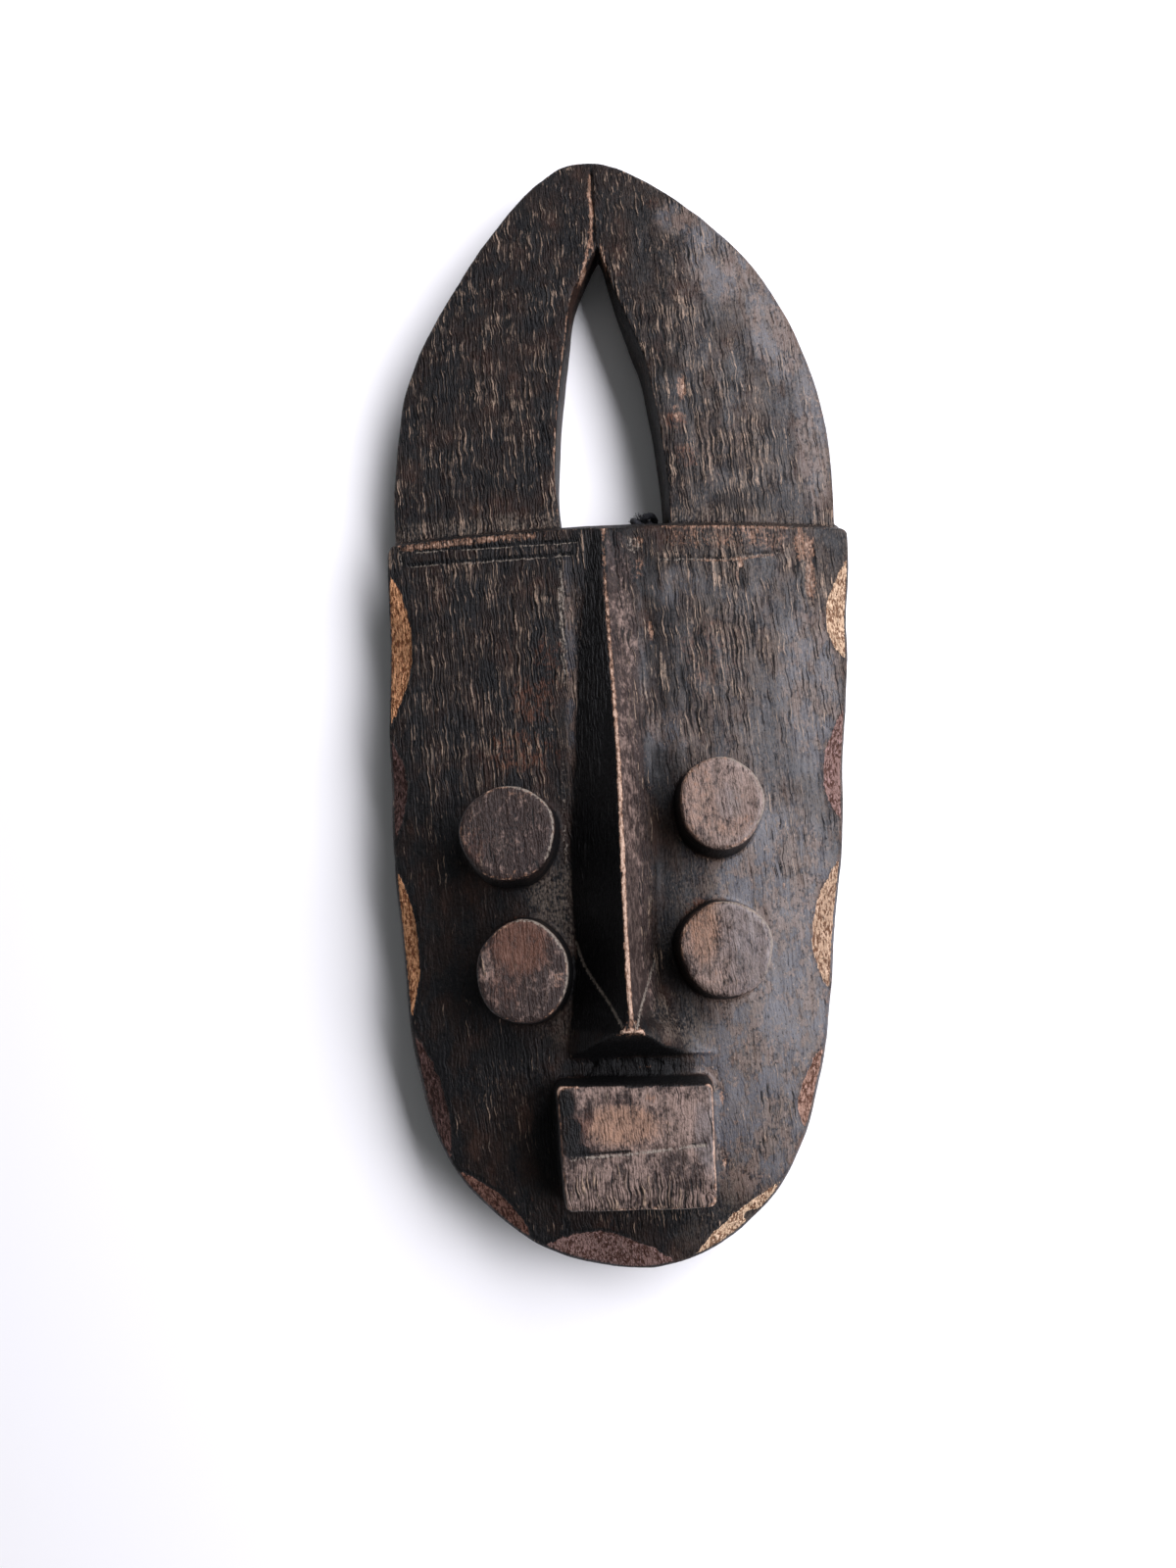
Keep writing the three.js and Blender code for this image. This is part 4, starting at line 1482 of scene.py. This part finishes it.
@dataclass(frozen=True)
class Dressing:
    """What stain, wear and dust have done to the skin, with painted shade, sheen and highlights, worked out
    at each of its vertices.
    """

    form: CarvedMask
    skin: Skin

    def keep(self, mesh: bpy.types.Mesh) -> None:
        """Keeps all of it on the mesh, in four colour attributes.

        Args:
            mesh: The skin.
        """
        skin, worn = self.skin, self.wear()
        cut, edge, tint = self.form.crescents.cut(skin, self.form.plate)
        # Painted shadow of the step along the inner edge of the crescents, darker on the left, away from
        # the light.
        ring = (0.2 + 0.45 * (skin.x < 0)) * band(edge, 0.9, 0.2, 1.1) * (skin.z > 16)
        notch = skin.covered((45.5, -205.5, 4.2, 2.6, 1.0))
        painted = fade(edge, -1.5, 1.3) * tint[:, 3] * (skin.z > cut - 1.6) * (1 - notch)
        soot_and_shade = np.maximum(self.soot_and_shade(worn), ring)
        for name, channels in (
            ("russet_painted_sheen_face", (self.russet(), self.painted_sheen(), self.paleness())),
            ("worn_soot_and_shade_fibre", (worn * (1 - 0.7 * (edge < 1.5)), soot_and_shade, self.fibres())),
            ("pigment", tint.T[:3]),
            ("painted_chalk_highlight_dust_light", (painted * fade(skin.rim, -1.2, -0.2), self.chalk_and_highlight(), self.dust())),
        ):
            layer = mesh.color_attributes.new(name, "FLOAT_COLOR", "POINT")
            values = np.column_stack([*channels, np.ones(len(skin.z))]).astype(np.float32)
            layer.data.foreach_set("color", values.ravel())

    def fibres(self) -> Array:
        """How much torn fibre shows.

        Returns:
            Amounts, less on the sides, the pegs and the mouth.
        """
        skin = self.skin
        raised = skin.z > self.form.plate.rim_height + 22
        mouth_foot = 0.25 + 1.0 * fade(skin.y, -190, -180) * (skin.y > -200)
        flank = (skin.over > 1) * (skin.x > self.form.nose.ridge_x(skin.y))
        flank = flank * (skin.x < 19) * (skin.y > -134)
        plain = self.form.torn_grain(skin) * (0.35 + 0.65 * skin.faces_up())
        return np.where(raised, mouth_foot, np.where(flank, 0.8, plain))

    def paleness(self) -> Array:
        """How bare and pale the fronts of the pegs and the mouth are, with painted light on the nose's
        right flank and right pegs.

        Returns:
            Values from 0 to 1.2, 0 elsewhere.
        """
        skin, form = self.skin, self.form
        x, y, over = skin.x, skin.y, skin.over
        black = skin.covered(
            (-20.5, -160, 4.6, 7, 0.9), (-19, -169, 6, 7, 0.85), (-17.5, -176, 8, 4, 0.85),
            (-3, -159, 9, 2.4, 0.45), (-13, -163.5, 1.8, 5, 0.6), (18, -184, 8, 7, 0.25),
        )
        face = form.mouth.is_front(skin) * (0.88 - 0.08 * (y < -178) - black)
        for peg in form.pegs:
            # Painted light: the right pegs grow paler towards their right, the side the light comes from.
            lean = 0.2 * (x - peg.x) / peg.rx * (peg.x > 0)
            face = np.maximum(face, np.clip(peg.pale + lean, 0, 1.1) * peg.is_front(skin))
        # The nose's right flank faces the light and is painted paler: painted light, strongest on the lit
        # patches.
        flank = rise(over, 0.4, 1.6) * (x > form.nose.ridge_x(y) + 0.8) * (x < 19) * between(y, -134, 53)
        fade_out = fade(x, 10.0, 15.5) * rise(over, 0.8, 3.0) * rise(y, -136, -120)
        lit = skin.covered((8, 14, 5, 22, 1.0), (6, -70, 3.5, 70, 0.75))
        face = np.maximum.reduce([np.zeros(len(x)), face, flank * fade_out * (0.28 + 0.42 * lit)])
        pale = skin.covered(
            (30.5, -48.5, 6, 9, 0.45), (27, -56, 3, 12, 0.3), (45.9, -54.7, 3, 3, 0.4),
            (48.2, -63.3, 3, 3, 0.5), (-33.5, -52, 8, 4, 0.35), (-51, -60, 5, 8, 0.4),
            (-47, -74, 7, 6, 0.4), (-22.3, -117.5, 4, 4, 0.45), (-47, -111.5, 4, 7, 0.35),
            (33, -118, 4, 4, 0.3), (8.9, -158.9, 3.2, 3.5, 0.8), (26.8, -192.7, 5, 3, 0.4),
            (20, -165, 10, 10, 0.2),
        )
        return np.clip(face + pale * (face > 0.2), 0, 1.2)

    def wear(self) -> Array:
        """How far edges, rims and chips are worn to bare wood.

        Returns:
            The wear, from 0 to 1.
        """
        skin, ridge_x = self.skin, self.form.nose.ridge_x(self.skin.y)
        x, y, z, over, convex = skin.x, skin.y, skin.z, skin.over, skin.convex
        ridge = band(x, ridge_x, 0.35, 1.3) * rise(over, 0.6, 1.8) * between(y, -137, 54)
        spread = np.clip((-127 - y) / 9, 0, 1) ** 1.5
        tip = band(x - 2.6, 0.9 * spread, 0.5 + 2.0 * spread, 1.2 + 3.0 * spread)
        tip = tip * between(y, -138, -118) * (over > 24)
        lip = fade(np.hypot((x - 0.9 - 0.35 * np.sin(y / 3.1)) / 1.1, (y - 201) / 24), 0.6, 1.25)
        fork = np.minimum(skin.line((-0.3, 186), (-3, 172), (-8, 157)), skin.line((4.0, 184), (6.2, 172)))
        under = skin.moved(0, 0.9).line(*self.form.lines.border[3])
        rims = rise(z, 52, 54.5)
        window_left = band(x + 14.5, (y - 59) * 0.02, 2, 6) * band(y, 110, 40, 62)
        blunt = 1 - 0.8 * between(y, -148, -132.5) * between(np.abs(x - 3), 4.5, 26)
        patchy = np.where(rims > 0.5, np.clip(0.72 + 0.75 * skin.noise(7, 7, 62, 2), 0.15, 1.2), 1.0)
        chips = skin.covered(
            (79.5, 47, 6, 8, 0.6), (81.2, 34, 3, 13, 0.6), (13.4, 48.4, 3.2, 3.4, 0.5),
            (53.4, 39.2, 1.3, 1.6, 0.8), (51.9, 34.5, 0.7, 4, 0.6), (13.8, 37.5, 2.6, 7, 0.42),
            (17.2, 12.3, 1.5, 5.5, 0.55), (34.6, 116.9, 2.4, 7, 0.62), (32, 106.4, 2.0, 5, 0.55),
            (36.5, 92, 3, 7, 0.34), (45, 84, 14, 12, 0.2), (37, 124, 3, 5, 0.3),
            (35.6, -162.1, 1.4, 3.2, 0.66), (35.7, -185.3, 1.5, 2.2, 0.7), (42.1, -190.6, 2, 1.4, 0.4),
            (63.1, -86.4, 1.2, 2.4, 0.5), (45, -141.5, 2.6, 7, 0.3),
        )
        flecks = skin.covered(
            (-33.5, -51, 9, 4, 0.3), (-52, -64, 4, 12, 0.26), (-36, -80.5, 10, 3, 0.3),
            (-21.5, -118, 3.5, 5, 0.42), (-48, -112, 3, 9, 0.26), (48.2, -63.3, 3, 3, 0.5),
            (31, -48.5, 4, 8, 0.24), (46, -55, 4, 4, 0.3), (33, -118, 4, 4, 0.3),
            (51.5, -107.5, 2.5, 5, 0.3), (27.5, -100, 4, 8, 0.42), (8.9, -158.9, 2.6, 2.6, 0.55),
            (26, -193, 6, 3, 0.3),
        )
        return np.clip(np.maximum.reduce([
            (0.62 + 0.75 * rims + 0.5 * window_left) * blunt * patchy * rise(convex, 0.05, 0.30),
            0.88 * ridge * rise(convex, -0.05, 0.15),
            0.62 * lip,
            0.42 * tip,
            0.68 * fade(fork, 0.3, 1.2) * (z > 20),
            0.62 * band(y, 53.2, 0.6, 2.4) * band(x, -52, 22, 35),
            0.40 * band(y, 49.5, 2.5, 6.0) * band(x, 49, 20, 30),
            0.55 * band(y, 54.4, 0.3, 1.0) * band(x, 52, 24, 36),
            0.62 * fade(under, 0.5, 1.2) * band(x, 50, 10, 24),
            chips * (over < 5),
            flecks * (z > 52),
        ]), 0, 1)

    def soot_and_shade(self, worn: Array) -> Array:
        """How black it is: painted shade in creases, cuts, on walls, the nose's left flank and under the
        nose, and dark stains and cracks.

        Args:
            worn: The wear, which takes the blackening off.

        Returns:
            The blackening, painted shade and dark stains, from 0 to 1.
        """
        skin, form = self.skin, self.form
        x, y, z, over = skin.x, skin.y, skin.z, skin.over
        _, outward, upward = skin.normals.T
        # Painted shade: the nose's left flank faces away from the light.
        left_flank = (over > 0.8) * (x < form.nose.ridge_x(y) - 0.8) * (x > -22) * between(y, -136, 58)
        left_flank = left_flank * ((z < 55) | (x > -14))
        # Painted shade on the walls of the pegs and the mouth, and under the tip of the nose.
        walls = (over > 2.5) * (upward < 0.5) * between(x, -66, 66) * (np.abs(x - 2) > 24 - 4 * (y < -150))
        underside = rise(over, 0.6, 1.8) * rise(-outward, 0.15, 0.45)
        underside = underside * band(x, 1, 16, 27) * between(y, -153, -134)
        # Painted shade beside and under the raised parts, with some dark stain.
        beds = skin.covered(
            (-26, -96, 9, 22, 0.25), (-42, -88, 12, 8, 0.35), (-14, -72, 3.5, 48, 0.45),
            (4, -150, 26, 5, 0.7), (-28, -172, 7, 26, 0.6), (24, -114, 7, 16, 0.35),
            (19.5, 22, 3.6, 34, 0.42), (24.5, 36, 4, 16, 0.3), (22, -30, 6, 26, 0.35),
            (40, -134, 12, 6, 0.2), (-35, -142, 18, 9, 0.45), (18.5, -40, 3.5, 40, 0.3),
            (25, -24, 10, 9, 0.3), (3, -200.5, 28, 3.5, 0.3),
        )
        marks = skin.covered(
            (29.1, 127.7, 8, 9, 0.4), (61.8, 68.8, 22, 8, 0.35), (-67, 122, 10, 14, 0.3),
            (-15.7, 95, 5, 30, 0.3), (-64, 4, 12, 12, 0.28), (31, 30, 14, 10, 0.34),
            (40, 108, 5, 12, 0.3), (55, 142, 14, 9, 0.3), (75, 94, 8, 9, 0.25), (52.8, 85, 9, 6, 0.34),
            (-72, 16, 6, 7, 0.35), (-21, 32, 6, 10, 0.3), (53.7, 33.4, 1.2, 5, 0.6),
            (76.5, 42, 0.9, 9, 0.9), (83.6, 43, 0.9, 8, 0.8), (80.2, 27, 0.8, 9, 0.55),
            (-20.5, -161, 3.6, 8, 0.55), (-19, -171, 4.6, 8, 0.52), (-12, -163, 1.6, 5, 0.4),
        )
        # Painted shade in the cut lines, darker on the left, away from the light.
        cuts = np.minimum.reduce([skin.moved(0, -0.4).line(*keys) for keys in form.lines.border])
        parted = skin.moved(0, -0.5).line(*form.mouth.cut)
        # Painted shade also in creases, on the mouth's top wall under the nose and on steep walls; marks
        # are dark stains, the seam and the peg crack dark cracks.
        soot_and_shade = np.maximum.reduce([
            0.75 * fade(skin.convex, -0.28, -0.06) * (z > 16),
            0.85 * left_flank,
            0.7 * walls * fade(over, 6, 17),
            0.8 * underside,
            0.75 * ((over > 2.5) * (outward > 0.5) * (y < -150)),
            beds * between(over, -3, 4),
            0.7 * fade(np.hypot((x - 1.7) / 0.7, (y - 219) / 6), 0.7, 1.3),
            0.8 * fade(skin.line(*EyePeg.crack), 0.15, 0.55) * (z > 50),
            marks,
            (0.35 + 0.5 * (x < 0)) * fade(cuts, 0.4, 1.1) * between(over, -3, 3),
            (0.3 + 0.4 * (x < 2)) * fade(parted, 0.2, 0.8) * (z > 52),
            0.3 * (z > 40) * (upward < 0.35),
        ])
        return np.clip(soot_and_shade * (1 - 0.85 * rise(worn, 0.4, 0.9)), 0, 1)

    def chalk_and_highlight(self) -> Array:
        """Where pale scratches show, and painted highlights: the lit lips of cut lines, glints on the peg
        rims and lit edges.

        Returns:
            How pale they are, from 0 to 1.
        """
        skin, form = self.skin, self.form
        x, y, z = skin.x, skin.y, skin.z
        lowered = skin.moved(0, 0.6)
        lines = [(lowered.line(*keys), 0.35, 0.62) for keys in form.lines.border]
        lines += [
            (skin.line(*form.nose.nostril_left), 0.45, 0.8),
            (skin.line(*form.nose.nostril_right), 0.5, 0.66),
            (lowered.line(*form.mouth.cut), 0.45, 0.72),
        ]
        total = [strength * fade(distance, width * 0.4, width + 0.6) for distance, width, strength in lines]
        # Painted glint on each peg's rim, on the side towards the light.
        for peg in form.pegs:
            toward = rise(((x - peg.x) * 0.86 + (y - peg.y) * 0.5) / peg.rx, -0.1, 0.6)
            total.append(0.66 * band(peg.distance(skin), -0.4, 0.3, 0.9) * toward * (z > 55))
        total.append(0.6 * band(y, -196.8, 0.4, 1.0) * band(x, 4, 22, 26) * (z > 48))
        # Painted highlights on lit edges.
        lit = skin.covered(
            (-16.5, 20, 1.8, 36, 0.6), (-18.2, -60, 1.6, 40, 0.45), (12, 47, 4, 5, 0.5),
            (-8, 53, 5, 1.5, 0.4), (-47, 53.4, 36, 1.4, 0.35), (80, 33, 3.5, 16, 0.42),
        )
        return np.maximum.reduce([*total, lit * (skin.over < 3)]) * (z > 22)

    def dust(self) -> Array:
        """Where dust and pale grime have settled: round the pegs and in the step of the horns; the right
        side is also painted lighter, as painted light.

        Returns:
            How thick they lie, with the painted light, from 0 to 1.
        """
        skin = self.skin
        settled = skin.covered(
            (-22, -87, 12, 12, 0.72), (-19, -98, 5, 16, 0.6), (-20, -137, 9, 6, 0.3),
            (-17.5, -108, 3, 14, 0.45), (-22, -134, 10, 8, 0.35), (36, -83, 20, 7, 0.6),
            (26, -88, 8, 10, 0.4), (18, -132, 11, 10, 0.75), (27, -139, 10, 6, 0.6),
            (60, -90, 12, 16, 0.2), (30, -140, 20, 10, 0.2), (-14, -20, 3.5, 60, 0.25),
        ) * ((skin.over < 4) | (skin.y < -126) & (skin.x > 9))
        # lit is painted light: lighter towards the right, where the light falls.
        shelf, lit = 0.8 * band(skin.y, 62.5, 1.5, 5), 0.35 * rise(skin.x, 5, 50)
        return np.maximum.reduce([settled, shelf, lit]) * skin.faces_up()

    def russet(self) -> Array:
        """Where the stain has gone reddish.

        Returns:
            How reddish it is, from 0 to 1.
        """
        skin = self.skin
        patches = skin.covered(
            (-22, 6, 9, 14, 0.46), (-28, -12, 12, 16, 0.5), (-34, -32, 18, 12, 0.55),
            (32, 102, 7, 7, 0.62), (35, 87, 7, 7, 0.6), (50, 92, 18, 16, 0.36), (28, 203, 7, 5, 0.40),
            (-76, 89, 7, 30, 0.28), (-50, 165, 14, 20, 0.25), (30, 8, 14, 14, 0.32),
            (43, -5, 12, 12, 0.3), (-71, 30, 8, 8, 0.32), (-25, 104, 8, 16, 0.25),
            (-62, 54, 22, 2.0, 0.55), (-30, 54, 20, 2.4, 0.35), (-35, -105, 13, 13, 0.85),
            (30, -101, 7, 15, 0.8), (28, -60, 5, 18, 0.4), (42, -66, 9, 5, 0.5), (40, -118, 10, 9, 0.3),
            (32, -56, 9, 16, 0.42), (-40, -118, 8, 12, 0.4), (40, 2, 16, 24, 0.42),
            (21, 24, 2, 20, 0.4), (-40, -200, 30, 8, 0.25), (-2, -168, 18, 9, 0.72),
            (26, -50, 4, 12, 0.35), (26, -104, 5, 12, 0.4), (-49, -70, 5, 8, 0.4),
        )
        rim = fade(skin.rim, -0.2, 0.4) * rise(skin.rim, -3.2, -1.6)
        return np.maximum(patches, 0.36 * rim * (skin.x > 40)) * skin.faces_up()

    def painted_sheen(self) -> Array:
        """Where a cool grey sheen is painted on the right side, which faces the light: painted sheen.

        Returns:
            How grey it is, from 0 to 1.
        """
        return self.skin.faces_up() * self.skin.covered(
            (62, -60, 52, 150, 0.24), (66, 120, 52, 110, 0.19), (54, 178, 16, 26, 0.6),
            (38, 196, 12, 10, 0.45), (30, 30, 14, 10, 0.35), (13.5, -30, 2.4, 80, 0.2),
            (48, -168, 28, 34, 0.56), (60, -110, 32, 70, 0.62), (78, -10, 16, 44, 0.45),
            (80, 150, 20, 34, 0.6), (88, 100, 9, 44, 0.45), (-14, -8, 3, 70, 0.34),
            (45, -150, 22, 24, 0.6), (58, -115, 12, 16, 0.8), (47, -110, 10, 15, 0.68),
            (41, -57, 7, 10, 0.5), (27, -172, 5, 16, 0.6), (24, -26, 12, 10, 0.4),
        )


def tube(
    path: Array, radius: float, lobes: int, twist: float, sides: int = 15, depth: float = 0.1,
) -> tuple[Array, Array]:
    """A laid cord as a closed mesh: lobes of yarn that wind along a path.

    Args:
        path: Its centreline, n by 3.
        radius: Radius to the crest of a yarn.
        lobes: How many yarns are laid together.
        twist: Length of one full turn.
        sides: Points round a ring.
        depth: Depth of the grooves between yarns, as a share of the radius.

    Returns:
        Points and quads; its ends are closed by small rings.
    """
    lengths = np.concatenate([[0], np.cumsum(np.linalg.norm(np.diff(path, axis=0), axis=1))])
    tangents = np.gradient(path, axis=0)
    tangents /= np.linalg.norm(tangents, axis=1)[:, None]
    across = np.cross(tangents[0], (0.0, 0.0, 1.0))
    if np.linalg.norm(across) < 1e-3:
        across = np.array((1.0, 0.0, 0.0))
    angles = np.linspace(0, 2 * math.pi, sides, endpoint=False)
    rings = []
    for centre, tangent, length in zip(path, tangents, lengths):
        across = across - tangent * (across @ tangent)
        across /= np.linalg.norm(across)
        turn = 2 * math.pi * length / twist
        reach = radius * (1 - depth + depth * np.cos(lobes * (angles - turn)))
        round_it = np.cos(angles)[:, None] * across + np.sin(angles)[:, None] * np.cross(tangent, across)
        rings.append(centre + reach[:, None] * round_it)
    caps = [path[end] + (rings[end] - path[end]) * 0.05 for end in (0, -1)]
    points = np.vstack([caps[0], *rings, caps[1]])
    starts = np.arange(len(rings) + 1)[:, None] * sides
    a, b = starts + np.arange(sides), starts + (np.arange(sides) + 1) % sides
    return points, np.stack([a, b, b + sides, a + sides], axis=2).reshape(-1, 4)


@dataclass(frozen=True)
class HangingCord:
    """The black cord: both strands pass a bore under the sill, and it ends in one knot."""

    diameter: float = 3.0
    twist: float = 7.5
    steps: int = 18
    route: tuple[Triple, ...] = (
        (16.3, 60.1, 10.3), (16.3, 50, 10.3), (16.2, 42, 10.1), (15.4, 34, 8.4), (13.8, 26, 5),
        (11.8, 18, 2.4), (8.6, 9, 1.7), (3.6, -2, 1.7), (-1.8, -15, 1.7), (-5, -30, 1.7),
        (-4, -46, 1.7), (4, -58, 1.7), (17, -62.5, 1.7), (29.5, -57, 1.7), (36, -44.5, 1.7),
        (35.6, -29, 1.7), (31.4, -14, 1.7), (26.8, -1, 1.7), (23.4, 9, 1.7), (21.2, 18, 2.4),
        (20.2, 26, 5), (19.8, 34, 8.4), (19.8, 42, 10.1), (19.7, 50, 10.3), (19.7, 60.1, 10.3),
    )
    knot_centre: Triple = (18, 65.4, 12)
    knot_size: Triple = (12, 10.4, 11)
    hairs: int = 260
    hair_length: float = 2.8
    hair_radius: float = 0.11
    hair_depth: float = 1.4

    def laid(self, path: Array) -> tuple[Array, Array]:
        """The cord laid along a path in the frame."""
        return tube(path, self.diameter * METRES / 2, 3, self.twist * METRES)

    def build_cord(self, material: bpy.types.Material) -> bpy.types.Object:
        """Args:
            material: Its material.

        Returns:
            The cord.
        """
        path = to_frame(smooth_path(self.route, self.steps))
        cord = show("laid_cord", make_mesh("laid_cord", *self.laid(path)), material)
        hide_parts("hanging_cord")
        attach(cord, "root")
        return cord

    def build_knot(self, material: bpy.types.Material) -> bpy.types.Object:
        """Builds the knot: the cord wound through itself, with loose hairs.

        Args:
            material: Its material.

        Returns:
            The knot.
        """
        centre, size = np.array(self.knot_centre), np.array(self.knot_size)
        t = np.linspace(0, 2 * math.pi, 97)
        across, along = np.sin(t) + 2 * np.sin(2 * t), np.cos(t) - 2 * np.cos(2 * t)
        turns = np.column_stack([across, along, -np.sin(3 * t)])
        turns = turns / np.abs(turns).max(axis=0) * (size / 2 - self.diameter / 2) + centre
        parts = [self.laid(to_frame(turns))]
        draw = np.random.default_rng(8)
        share = np.linspace(0, 1, 5)[:, None]
        for _ in range(self.hairs):
            aim = draw.normal(size=3)
            aim /= np.linalg.norm(aim)
            bend = draw.normal(size=3) * 0.5
            span = self.hair_length * draw.uniform(0.4, 1.0)
            root = centre + aim * (size / 2 - self.hair_depth)
            hair = root + aim * span * share * 0.55 + bend * share**2 * span * 0.5
            parts.append(tube(to_frame(hair), self.hair_radius * METRES, 1, 1.0, 5, 0.0))
        starts = np.cumsum([0, *(len(points) for points, _ in parts)])
        quads = np.vstack([faces + start for (_, faces), start in zip(parts, starts)])
        points = np.clip(np.vstack([points for points, _ in parts]), *(np.array(c) for c in CAD_BOUNDS))
        knot = show("cord_end_knot", make_mesh("cord_end_knot", points, quads), material)
        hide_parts("cord_knot")
        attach(knot, "root")
        return knot


@dataclass(frozen=True)
class PhotoCamera:
    """The view of the photograph: a camera that looks down on the mask as it lies.

    foot is the pixel right under the camera, where a line at right angles to the floor goes
    through the lens; stand is that place from the midline, and the camera's height over it.
    """

    focal: float = 1202
    picture: tuple[int, int] = (1200, 1600)
    foot: Pair = (615, 985)
    roll: float = 2.2
    stand: Triple = (-6, -113, 476)
    sensor: float = 36

    def place(self) -> None:
        """Makes the camera, and the scene look through it."""
        offset = [(f - p / 2) / self.focal for f, p in zip(self.foot, self.picture)]
        floorward = Vector((*offset, 1.0)).normalized()
        down = (Vector((0, 1, 0)) - floorward * floorward.y).normalized()
        right = down.cross(floorward)
        sine, cosine = math.sin(math.radians(self.roll)), math.cos(math.radians(self.roll))
        east, north, up = Vector((cosine, -sine, 0)), Vector((sine, cosine, 0)), Vector((0, 0, 1))
        axes = [
            sign * (right[k] * east - down[k] * north - floorward[k] * up)
            for k, sign in enumerate((1, -1, -1))
        ]
        data = bpy.data.cameras.new("photo_camera")
        data.lens = self.focal / max(self.picture) * self.sensor
        data.sensor_width = self.sensor
        data.clip_start = 0.02
        camera = bpy.data.objects.new("photo_camera", data)
        spin = Matrix(axes).transposed().to_4x4()
        camera.matrix_world = Matrix.Translation(to_frame([self.stand])[0]) @ spin
        bpy.context.scene.collection.objects.link(camera)
        bpy.context.scene.camera = camera


@dataclass(frozen=True)
class SoftLight:
    """A soft light that looks at the mask: its direction, distance, sides and power."""

    name: str
    azimuth: float
    elevation: float
    distance: float
    width: float
    height: float
    power: float
    colour: Colour

    def place(self) -> None:
        """Makes the light, its width level."""
        data = bpy.data.lights.new(self.name, "AREA")
        data.shape = "RECTANGLE"
        data.size, data.size_y = self.width, self.height
        data.energy = self.power
        data.color = self.colour
        light = bpy.data.objects.new(self.name, data)
        around, up = math.radians(self.azimuth), math.radians(self.elevation)
        aim = Vector((math.cos(up) * math.cos(around), math.cos(up) * math.sin(around), math.sin(up)))
        light.location = aim * self.distance
        light.rotation_euler = aim.to_track_quat("Z", "Y").to_euler()
        bpy.context.scene.collection.objects.link(light)


@dataclass(frozen=True)
class Studio:
    """A plain pale floor and soft light from the upper right."""

    floor_size: float = 6.0
    floor_colour: Colour = (0.90, 0.90, 0.90)
    floor_roughness: float = 0.9
    sky_colour: Colour = (0.95, 0.97, 1.0)
    sky: float = 0.10
    lights: tuple[SoftLight, ...] = (
        SoftLight("key", 17, 49, 1.2, 2.1, 0.78, 40, (1.0, 0.985, 1.06)),
        SoftLight("overhead", 80, 78, 2.2, 2.4, 2.4, 2.5, (0.97, 0.98, 1.0)),
    )

    def build(self) -> None:
        """Makes the floor, the sky and the lights."""
        corners = np.array([(-1, -1, 0), (1, -1, 0), (1, 1, 0), (-1, 1, 0)]) * self.floor_size / 2
        paper, _, shader = new_material("pale_floor")
        shader["Base Color"].default_value = (*self.floor_colour, 1)
        shader["Roughness"].default_value = self.floor_roughness
        floor = show("floor", make_mesh("floor", corners, np.array([[0, 1, 2, 3]])), paper)
        world = bpy.data.worlds.new("soft_sky")
        world.use_nodes = True
        sky = world.node_tree.nodes["Background"].inputs
        sky["Color"].default_value = (*self.sky_colour, 1)
        sky["Strength"].default_value = self.sky
        bpy.context.scene.world = world
        bpy.context.scene.view_settings.view_transform = "Standard"
        for light in self.lights:
            light.place()


def main() -> None:
    """Builds the camera, the cord, the mask and the studio in order."""
    logging.basicConfig(level=logging.INFO, format="%(message)s")
    PhotoCamera().place()
    fibres, dust = fibre_group(), dust_group()
    cord = HangingCord()
    black = CordFinish().material(fibres, dust)
    knot = cord.build_knot(black)
    LOG.info("built %s", knot.name)
    LOG.info("built %s", cord.build_cord(black).name)
    mask = CarvedMask().build(WoodFinish().material(fibres, dust))
    LOG.info("built %s with %d faces", mask.name, len(mask.data.polygons))
    Studio().build()


if __name__ == "__main__":
    main()
